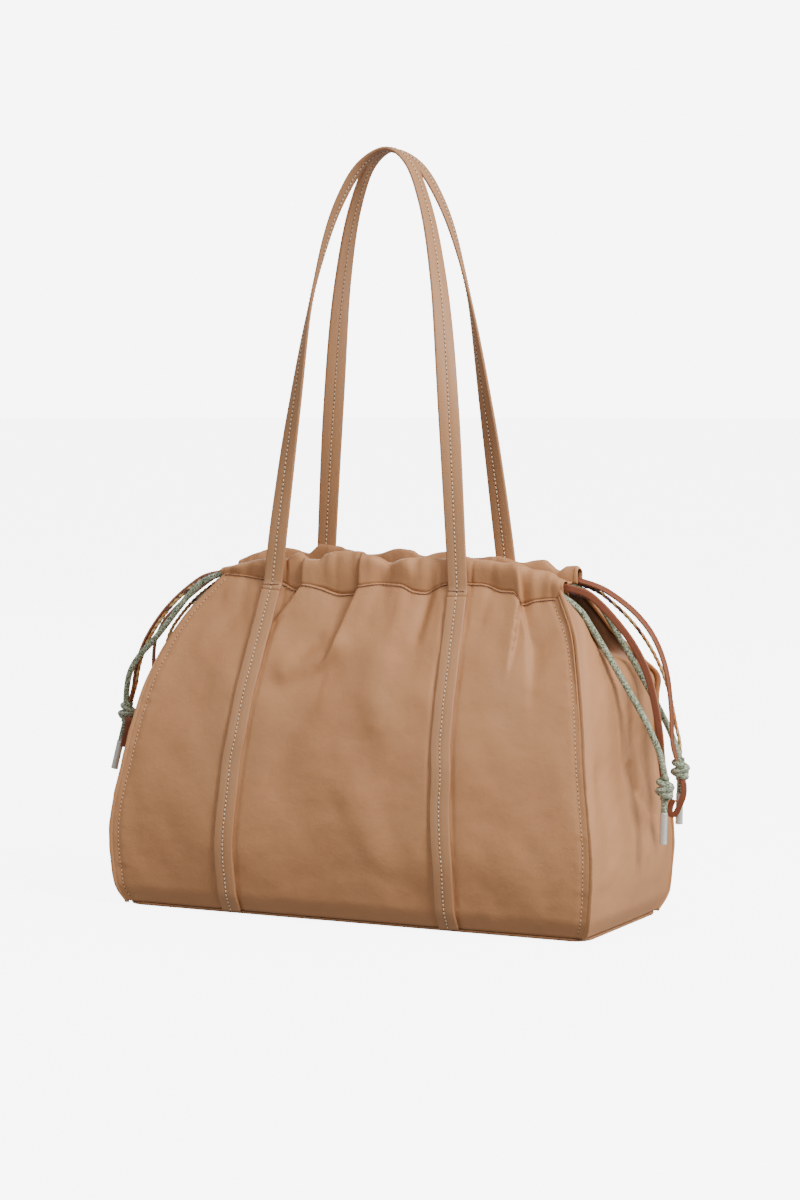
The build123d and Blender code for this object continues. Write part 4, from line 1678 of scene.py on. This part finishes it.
def lace_strip(name: str, line: Array, across: Array, palette: Palette, width: float = 5.3,
               thickness: float = 1.9) -> bpy.types.Object:
    """Flat leather lace along a line.

    Args:
        name: Name of the object.
        line: Middle of the lace, in millimetres.
        across: Direction of its width at each point.
        palette: The bag's finishes.
        width: Its width.
        thickness: Its thickness.

    Returns:
        The lace, with a mask "rim" that is 1 on its cut edges.
    """
    along = directions(line)
    across = unit(across - along * np.sum(across * along, axis=1, keepdims=True))
    up = np.cross(along, across)
    w, t, c = width / 2, thickness / 2, 0.28
    ring = np.array([(w, -t + c), (w, t - c), (w - c, t), (0.4 * w, t), (0, t * 0.96),
                     (-0.4 * w, t), (-w + c, t), (-w, t - c), (-w, -t + c), (-w + c, -t),
                     (-0.4 * w, -t), (0, -t * 0.96), (0.4 * w, -t), (w - c, -t)])
    made = tube(name, swept(line, ring, across, up))
    rim = (np.abs(ring[:, 0]) > w - 0.02).astype(float)
    add_mask(made, "rim", np.broadcast_to(rim, (len(line), len(ring))))
    return dress(made, palette.lace)


@dataclass(frozen=True)
class Bundle:
    """Three drawcords that leave one open end of a casing and are tied in a knot."""

    name: str
    braid: tuple[Point, ...]
    lace: tuple[Point, ...]
    twist: tuple[Point, ...]
    knot: Point
    tail: Point
    lengths: tuple[float, float, float]  # braid, lace and twist, in millimetres
    lace_turn: tuple[float, float, float] = (0.2, 0.3, 1.0)  # width of the lace at its exit
    lace_twist: float = 1.1  # turns, in radians, from the exit to the knot
    curl: tuple[Point, ...] = ()  # the lace's loose end under the knot
    seed: int = 1


BRAID_DIAMETER = 4.8
LACE_WIDTH = 4.5
TWIST_DIAMETER = 3.0
TIP_DIAMETER = 5.8
TIP_LENGTH = 23.0
TIP_GROOVES = ((-9.6, -9.0), (8.4, 9.0))   # lower and upper edge, from the tip's middle
TIP_WAIST = 0.94                           # share of the tip's width in a groove
KNOT_LOOPS = ((-3.4, 4.5), (0.4, 5.1), (4.0, 4.4))   # place along the knot, and radius
KNOT_CORE = 6.4                            # thickness of the cords inside the loops
PULLED = 0.94                              # share of its thickness a cord has when pulled tight
TUNNEL = (-129.0, 143.5)                   # x where the cords' hidden stretches start and end
TUNNEL_HEIGHTS = {"braid": 254.0, "lace": 258.0, "twist": 257.0}


@dataclass
class CordBundle:
    """Makes the pieces of one bundle."""

    bundle: Bundle
    palette: Palette
    blend_reach: float = 20.0
    inside: float = 7.0  # how far the cords start inside the casing's open end

    @property
    def body(self) -> str:
        """Name of the bundle's body."""
        return f"{self.bundle.name}_cords"

    def hidden(self, points: Sequence[Point]) -> list[Point]:
        """A route whose start is moved a little way into the casing."""
        x, y, z = points[0]
        return [(x - math.copysign(self.inside, x), y, z), *points[1:]]

    def free(self, made: bpy.types.Object, line: Array, length: float, diameter: float,
             pieces: Sequence[bpy.types.Object] = ()) -> None:
        """Log a free cord's drawn length as a share of its full length, and move its place into
        its mesh.
        """
        log.info("%s %.3f of its length", made.name, travelled(line)[-1] / length)
        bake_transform(made)

    def wraps(self) -> bpy.types.Object:
        """The knot: cords wound round the bundle and over each other."""
        b = self.bundle
        centre, tail = np.array(b.knot, float), np.array(b.tail, float)
        axis = unit(tail - centre)
        side = unit(np.cross(axis, np.array([0.3, 1.0, 0.1])))
        front = np.cross(axis, side)
        rng = np.random.default_rng(b.seed)
        tilt = rng.uniform(0.3, 0.5)
        loops = []
        for turn_number, (shift, radius) in enumerate(KNOT_LOOPS):
            turn = np.linspace(0, TAU, 34) + rng.uniform(0, TAU)
            lean = tilt * (1 if turn_number % 2 == 0 else -0.8)
            ring = (centre + radius * np.cos(turn)[:, None] * side
                    + radius * np.sin(turn)[:, None] * front
                    + (shift + radius * lean * np.cos(turn + 0.6))[:, None] * axis)
            loops.append(ring)
        diagonal = through([centre - axis * 7.5 + front * 1.5, centre - axis * 4.6 - side * 4.4,
                            centre - front * 6.2 + axis * 0.3, centre + axis * 4.8 + side * 4.2,
                            centre + axis * 7.5 + side * 0.8], 40)
        bars = [closed_ring(loop, BRAID_DIAMETER * PULLED) for loop in loops]
        bars.append(plain_tube_points(diagonal, BRAID_DIAMETER * PULLED))
        bars.append(plain_tube_points(
            np.linspace(centre - axis * 8.5, centre + axis * 8.0, 24), KNOT_CORE))
        points, faces, maps = [], [], []
        base = 0
        for ring_points, ring_faces, uv in bars:
            points.append(ring_points)
            faces += [[base + i for i in face] for face in ring_faces]
            maps.append(uv)
            base += len(ring_points)
        made = mesh_object(f"{b.name}_knot_wraps", np.vstack(points), faces)
        uv = np.vstack(maps)
        add_map(made, uv[:, 0], uv[:, 1])
        dress(made, self.palette.braid)
        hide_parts(f"{b.name}_knot")
        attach(made, self.body)
        return made

    def tail_and_tip(self) -> list[bpy.types.Object]:
        """The braid's tail under the knot, its metal tip and the lace's loose end."""
        b = self.bundle
        centre, tail = np.array(b.knot, float), np.array(b.tail, float)
        axis = unit(tail - centre)
        line = np.linspace(centre + axis * 7.0, tail + axis * 6.0, 40)
        end = braid_tube(f"{b.name}_tail", line, BRAID_DIAMETER, self.palette)
        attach(end, self.body)
        deselect_all()
        bpy.ops.mesh.primitive_cylinder_add(vertices=40, radius=TIP_DIAMETER / 2 * MM,
                                            depth=TIP_LENGTH * MM)
        tip = bpy.context.object
        tip.name = f"{b.name}_metal_tip"
        cut_across(tip, 2, [edge for groove in TIP_GROOVES for edge in groove])
        for vertex in tip.data.vertices:
            high = vertex.co.z / MM
            if any(low - 0.1 < high < top + 0.1 for low, top in TIP_GROOVES):
                vertex.co.x *= TIP_WAIST
                vertex.co.y *= TIP_WAIST
        soften_edges(tip, 0.5, 3, 40)
        tip.rotation_euler = Vector(axis).to_track_quat("Z", "Y").to_euler()
        tip.location = Vector((tail + axis * TIP_LENGTH / 2) * MM)
        place_in_mesh(tip)
        only(tip)
        bpy.ops.object.shade_smooth()
        edges = tip.modifiers.new("normals", "WEIGHTED_NORMAL")
        edges.keep_sharp = True
        apply_modifiers(tip)
        dress(tip, self.palette.tip)
        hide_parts(f"{b.name}_tip")
        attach(tip, self.body)
        made = [end, tip]
        if b.curl:
            curl = through(b.curl, 60)
            strip = lace_strip(f"{b.name}_lace_end", curl,
                               carried_across(curl, (0.9, 0.35, 0.1)), self.palette, 4.4, 1.6)
            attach(strip, self.body)
            made.append(strip)
        return made

    def build(self) -> None:
        """Make the three cords, the knot, the tail, the tip and the lace's loose end."""
        b = self.bundle
        knot = self.wraps()
        rest = self.tail_and_tip()
        braid_line = spline_points(self.hidden(b.braid), 220)
        braid = braid_tube(f"{b.name}_braid_cord", braid_line, BRAID_DIAMETER, self.palette)
        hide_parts(f"{b.name}_braid")
        self.free(braid, braid_line, b.lengths[0], BRAID_DIAMETER, [knot, *rest])
        lace_line = spline_points(self.hidden(b.lace)[:-1] + [b.knot], 160)
        turn = np.linspace(0, b.lace_twist, len(lace_line))[:, None]
        first = carried_across(lace_line, b.lace_turn)
        second = np.cross(directions(lace_line), first)
        lace = lace_strip(f"{b.name}_lace_cord", lace_line,
                          first * np.cos(turn) + second * np.sin(turn), self.palette)
        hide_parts(f"{b.name}_lace")
        self.free(lace, lace_line, b.lengths[1], LACE_WIDTH)
        twist_line = spline_points(self.hidden(b.twist)[:-1] + [b.knot], 260)
        twist = twist_tube(f"{b.name}_twist_cord", twist_line, TWIST_DIAMETER, self.palette)
        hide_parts(f"{b.name}_twist")
        self.free(twist, twist_line, b.lengths[2], TWIST_DIAMETER)


def plain_tube_points(line: Array, diameter: float, around: int = 16
                      ) -> tuple[Array, list[list[int]], Array]:
    """Points, faces and map of a closed tube along a line."""
    first = carried_across(line, (0.31, 0.8, 0.52))
    second = np.cross(directions(line), first)
    rings = round_rings(line, first, second, diameter / 2, full_turn(around))
    count = len(line)
    faces = grid_faces(count, around, wrap=True)
    faces += [list(range(around))[::-1], [(count - 1) * around + i for i in range(around)]]
    reach = travelled(line)
    uv = np.stack([np.tile(np.arange(around) / around, count), np.repeat(reach, around)], axis=1)
    return rings.reshape(-1, 3), faces, uv


def closed_ring(line: Array, diameter: float, around: int = 16
                ) -> tuple[Array, list[list[int]], Array]:
    """Points, faces and map of a tube along a closed line, its first point repeated last."""
    line = line[:-1]
    count = len(line)
    ahead = unit(np.roll(line, -1, axis=0) - np.roll(line, 1, axis=0))
    middle = line.mean(axis=0)
    first = unit(line - middle - ahead * np.sum((line - middle) * ahead, axis=1, keepdims=True))
    second = np.cross(ahead, first)
    rings = round_rings(line, first, second, diameter / 2, full_turn(around))
    faces = grid_faces(count, around, wrap=True) + closing_faces(count, around)
    step = np.linalg.norm(line[1] - line[0])
    uv = np.stack([np.tile(np.arange(around) / around, count),
                   np.repeat(np.arange(count) * step, around)], axis=1)
    return rings.reshape(-1, 3), faces, uv


def tunnel_cords(side: Side, palette: Palette) -> None:
    """The three cords' stretches inside one casing, which show at its open ends."""
    name = side.name.lower()
    left, right = (next(b for b in BUNDLES if b.name == f"{name}_{end.name.lower()}")
                   for end in (End.LEFT, End.RIGHT))
    x = np.linspace(*TUNNEL, 200)
    bow = 6.0 * (1 - ((x - 7) / 141.0) ** 2)
    near_left, near_right = (1 - smoothstep(0, 24, np.abs(x - end)) for end in TUNNEL)
    for what, height in TUNNEL_HEIGHTS.items():
        y = side.value * (13.0 + bow)
        first, last = (getattr(bundle, what)[0][2] for bundle in (left, right))
        z = height + (first - height) * near_left + (last - height) * near_right
        line = np.stack([x, y, z], axis=1)
        label = f"{name}_tunnel_{what}_cord"
        if what == "braid":
            made = braid_tube(label, line, BRAID_DIAMETER, palette)
        elif what == "lace":
            made = lace_strip(label, line, np.tile([0, 0.2, 1.0], (len(x), 1)), palette)
        else:
            made = twist_tube(label, line, TWIST_DIAMETER, palette)
        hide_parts(f"{name}_tunnel_{what}")
        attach(made, "bag")


BUNDLES = (
    Bundle(
        "front_right",
        braid=((151.5, -13, 246.5), (161, -14, 238), (171, -15, 224.5), (183, -15, 206.5),
               (197, -15.5, 185), (211, -15, 163), (222, -15, 143), (228.5, -15, 127),
               (230.5, -14.5, 114)),
        lace=((151.5, -13, 252), (163, -11, 250), (176, -9, 240.5), (190, -9, 226.5),
              (203, -9, 211), (214, -9, 191), (220, -9, 168), (224, -9, 146), (225, -9, 129),
              (226, -9.5, 114)),
        twist=((151.5, -13, 250), (162, -9, 247), (175, -4.5, 237.5), (188, -4, 224),
               (201, -4, 209), (211, -4, 189), (217, -4, 167), (221, -4, 146),
               (225, -4.5, 129), (230, -7.5, 113)),
        knot=(229, -12, 107), tail=(228.5, -12, 89), lengths=(163.7, 176.2, 173.8),
        lace_turn=(0.55, 0.15, 1.0), lace_twist=0.15, seed=3),
    Bundle(
        "back_right",
        braid=((151.5, 13, 251), (161, 14, 245), (170, 17, 231), (179, 20, 214),
               (190, 22, 196), (202, 23, 176), (213, 24, 156), (221, 25, 140),
               (226.5, 24.5, 124.5)),
        lace=((151.5, 13, 256), (163, 13, 252.5), (179, 13, 244.5), (196, 14, 232),
              (210, 15, 215), (219, 16, 192), (222, 17, 168), (223, 17, 147),
              (223, 17.5, 133), (223.5, 19, 121)),
        twist=((151.5, 13, 254), (162, 16, 249), (174, 19, 239.5), (188, 21, 227),
               (201, 22, 211), (212, 24, 191), (218, 27, 170), (221, 29.5, 149),
               (225, 30.5, 134), (228, 29, 121.5)),
        knot=(227, 24, 117), tail=(226.5, 24.5, 99), lengths=(151.9, 173.5, 165.4),
        lace_turn=(0.3, 1.0, 0.5), lace_twist=-0.6, seed=8,
        curl=((228, 22, 114), (231, 21, 106), (231, 20.5, 98), (228, 20, 90),
              (224.5, 20, 84), (221.5, 19, 84), (221.5, 18.5, 89), (224, 18, 95))),
    Bundle(
        "front_left",
        braid=((-137.5, -13, 254.7), (-150, -14, 250.5), (-166, -15, 237), (-182, -15, 218),
               (-198, -15.5, 199), (-214, -16, 184), (-223, -16, 167), (-223.5, -16, 148)),
        lace=((-137.5, -13, 255), (-150, -11, 253.5), (-167, -10, 243.5), (-185, -10, 229),
              (-200, -10, 212), (-212, -10, 193), (-218, -10, 172), (-219, -11, 158),
              (-220, -12, 147)),
        twist=((-137.5, -13, 256), (-147, -14, 252.5), (-164, -13.5, 243), (-182, -13.5, 228.5),
               (-197, -13.5, 210.5), (-208.5, -12.5, 192.5), (-214.5, -12, 175), (-217, -11, 162),
               (-221, -11, 153), (-224, -12, 147)),
        knot=(-223, -15, 141), tail=(-228.5, -16, 118.5), lengths=(143.4, 151.9, 148.8),
        lace_turn=(0.3, -1.0, 0.3), lace_twist=-0.3, seed=11,
        curl=((-222, -17, 141), (-219, -20.5, 136), (-220.5, -19.5, 128), (-223.5, -18, 121),
              (-225.5, -17.5, 114))),
    Bundle(
        "back_left",
        braid=((-137.5, 13, 252), (-149, 15, 248), (-163, 19, 239), (-180, 24, 228),
               (-195, 30, 212), (-208, 36, 194), (-219, 41, 175), (-227, 45.5, 156),
               (-229, 48.5, 136)),
        lace=((-137.5, 13, 256), (-150, 14, 255), (-167, 17, 245), (-185, 21, 233),
              (-204, 26, 220), (-220, 31, 206), (-229, 37, 188), (-232, 42, 168),
              (-232.5, 42, 150), (-233.5, 43, 134)),
        twist=((-137.5, 13, 255), (-149, 18, 252), (-165, 22, 242), (-183, 27, 231),
               (-200, 33, 217), (-215, 38, 201), (-223, 44, 182), (-227, 50, 163),
               (-230, 52, 148), (-234, 49.5, 134)),
        knot=(-231, 46, 128), tail=(-231, 46.5, 110), lengths=(161.0, 178.6, 172.9),
        lace_turn=(-0.4, 0.7, 0.8), lace_twist=0.5, seed=17),
)


# --- Front and back, as drawn -----------------------------------------------------------------

STITCH_LINE = ((-136, 253.5), (-128, 254), (-98, 251.5), (-85, 250), (-67, 243.5), (-58, 248.5),
               (-46, 246), (-30, 241.5), (-18, 242.5), (-12, 248.5), (4, 251), (21, 250.5),
               (32, 246), (41, 245), (49, 249), (57, 252), (72, 253), (86, 253), (104, 248.5),
               (113, 248.5), (119, 239), (129, 242), (150, 244.5))
FRILL = ((-137, 259), (-122, 262), (-113, 264.5), (-99, 266), (-78, 268), (-68, 273),
         (-58, 268.5), (-51, 268), (-44, 272), (-20, 275), (-1, 272), (8, 267.5), (22, 270),
         (40, 272), (70, 272), (86, 271), (103, 269), (113, 270), (124, 265.5), (136, 264),
         (145, 259), (152, 256.5))
BACK_FRILL = ((-153, 262), (-148, 266), (-141, 266), (-134, 262), (-120, 270), (-100, 268),
              (-80, 272), (-60, 270), (-40, 274), (-20, 271), (0, 275), (25, 270), (45, 274),
              (66, 277), (78, 270), (100, 273), (125, 268), (138, 262))
PLEATS = (
    Pleat(edge=((207, -100), (222, -88), (229, -77), (243, -65), (252, -59)), over=1, lift=5.0,
          reach=11, sink=2.2, lap=2.4),
    Pleat(edge=((186, -40), (207, -23), (226, -19), (243, -14), (252, -11)), over=1, lift=4.4,
          reach=13, sink=2.0, lap=2.2),
    Pleat(edge=((186, 121), (213, 120), (231, 119), (248, 118)), over=-1, lift=4.2, reach=9,
          sink=2.4, lap=2.2),
)
DENTS = (
    Dent((-22, 208), (-60, 188), 4.8, 10),
    Dent((-64, 172), (-22, 184), -2.6, 12),
    Dent((45, 247), (41, 216), -3.4, 5),
    Dent((33, 246), (22, 216), 2.4, 8),
    Dent((-40, 214), (-52, 200), -2.4, 7),
    Dent((135, 215), (138, 180), -2.4, 10),
    Dent((-110, 232), (-128, 200), -2.0, 9),
    Dent((12, 196), (24, 150), 2.0, 13),
    Dent((-45, 150), (-60, 100), -1.8, 14),
    Dent((-10, 110), (30, 60), 2.2, 34),
    Dent((40, 70), (62, 30), -1.4, 12),
    Dent((104, 60), (150, 26), 1.6, 14),
    Dent((-140, 120), (-150, 60), -1.6, 26),
    Dent((150, 110), (140, 40), -1.6, 26),
    Dent((95, 246), (92, 224), -1.6, 5),
    Dent((5, 248), (0, 222), -1.8, 6),
)
BACK_PLEATS = (
    Pleat(edge=((200, -96), (225, -83), (243, -72), (252, -68)), over=1, lift=4.2, reach=12,
          sink=1.8),
    Pleat(edge=((190, 20), (215, 26), (235, 29), (252, 30)), over=-1, lift=4.0, reach=12,
          sink=1.8),
)
RIGHT_FOLDS = (
    Pleat(edge=((92, 52), (118, 52), (142, 34), (158, 12), (176, -2), (192, -9), (206, -16)),
          over=-1, lift=5.5, reach=26, sink=5.5, lap=0),
    Dent((-2, 119), (8, 100), -2.6, 5),
    Dent((8, 100), (38, 80), -2.2, 5),
    Dent((4, 124), (20, 104), 1.8, 7),
    Dent((-50, 120), (-46, 60), -2.4, 9),
    Dent((30, 150), (44, 110), 2.0, 12),
)


@dataclass
class Studio:
    """White floor, white surroundings, soft lights and the camera."""

    position: tuple[float, float, float] = (1.1137, -2.2633, 0.4334)
    target: tuple[float, float, float] = (0.0084, 0.0, 0.2365)
    lens: float = 100.0

    def floor(self) -> None:
        """A large flat white floor."""
        deselect_all()
        bpy.ops.mesh.primitive_plane_add(size=40, location=(0, 0, -0.0002))
        self.glowing(bpy.context.object, "studio_floor", 0.8, 6.25)

    def glowing(self, made: bpy.types.Object, name: str, white: float, glow: float) -> None:
        """Make a stage piece white and lit from within, without it lighting the bag."""
        made.name = name
        r = Recipe(name)
        r.set(Base_Color=(white, white, white), Roughness=0.9, Specular_IOR_Level=0.0,
              Emission_Color=(1.0, 1.0, 1.01), Emission_Strength=glow)
        made.data.materials.append(r.material)
        made.visible_diffuse = False
        made.visible_glossy = False
        made.visible_shadow = False

    def dome(self) -> None:
        """White all round, as far as the camera sees."""
        deselect_all()
        bpy.ops.mesh.primitive_uv_sphere_add(segments=64, ring_count=32, radius=16)
        self.glowing(bpy.context.object, "studio_dome", 0.0, 7.4)

    def surroundings(self) -> None:
        """Even white light from all round."""
        world = bpy.data.worlds.new("studio")
        bpy.context.scene.world = world
        world.use_nodes = True
        background = world.node_tree.nodes["Background"]
        background.inputs["Color"].default_value = (1.0, 1.0, 1.0, 1.0)
        background.inputs["Strength"].default_value = 0.42

    def lamp(self, name: str, place: Point, aim: Point, size: float, watts: float,
             colour: Colour = (1.0, 1.0, 1.0)) -> None:
        """A square area light aimed at a point, in metres."""
        light = bpy.data.lights.new(name, "AREA")
        light.shape = "SQUARE"
        light.size = size
        light.energy = watts
        light.color = colour
        made = bpy.data.objects.new(name, light)
        made.location = place
        made.rotation_euler = (Vector(aim) - Vector(place)).to_track_quat("-Z", "Y").to_euler()
        bpy.context.scene.collection.objects.link(made)

    def camera(self) -> None:
        """The camera, aimed at the bag."""
        data = bpy.data.cameras.new("camera")
        data.lens = self.lens
        data.sensor_width = 36.0
        data.clip_start, data.clip_end = 0.05, 50.0
        made = bpy.data.objects.new("camera", data)
        made.location = self.position
        aim = Vector(self.target) - Vector(self.position)
        made.rotation_euler = aim.to_track_quat("-Z", "Y").to_euler()
        bpy.context.scene.collection.objects.link(made)
        bpy.context.scene.camera = made

    def build(self) -> None:
        """Set the stage."""
        self.floor()
        self.dome()
        self.surroundings()
        self.lamp("key", (2.15, -0.85, 1.75), (0.0, 0.0, 0.15), 0.9, 97)
        self.lamp("front", (-0.9, -2.4, 1.4), (0.0, 0.0, 0.15), 1.4, 14)
        self.lamp("top", (0.4, -0.5, 2.4), (0.0, 0.0, 0.25), 1.6, 20)
        self.lamp("side", (1.5, 0.35, 0.35), (0.2, 0.02, 0.06), 0.7, 9)
        self.lamp("rim", (-1.7, 1.9, 1.7), (0.0, 0.0, 0.15), 1.2, 26)
        self.camera()


def main() -> None:
    """Build the bag and its stage."""
    logging.basicConfig(level=logging.INFO, format="%(message)s")
    palette = Palette()
    form = BodyForm()
    Base(form, palette).build()
    log.info("base done")
    front = LongPanel(form, Side.FRONT, palette, PLEATS, DENTS, STITCH_LINE, seed=10)
    back = LongPanel(form, Side.BACK, palette, BACK_PLEATS, (), STITCH_LINE, seed=30)
    front.build()
    back.build()
    log.info("panels done")
    Gusset(form, End.RIGHT, palette, RIGHT_FOLDS, seed=50).build()
    Gusset(form, End.LEFT, palette, seed=60).build()
    for end in End:
        for side in Side:
            CornerSeam(form, end, side, palette, seed=90 + 3 * end.value + side.value).build()
    Casing(front, FRILL, seed=70).build()
    Casing(back, BACK_FRILL, seed=80).build()
    log.info("ends and casings done")
    for wall in (front, back):
        Handle(wall).build()
        tunnel_cords(wall.side, palette)
    for bundle in BUNDLES:
        CordBundle(bundle, palette).build()
    log.info("handles and cords done")
    palette.needle.put_away()
    Studio().build()


if __name__ == "__main__":
    main()
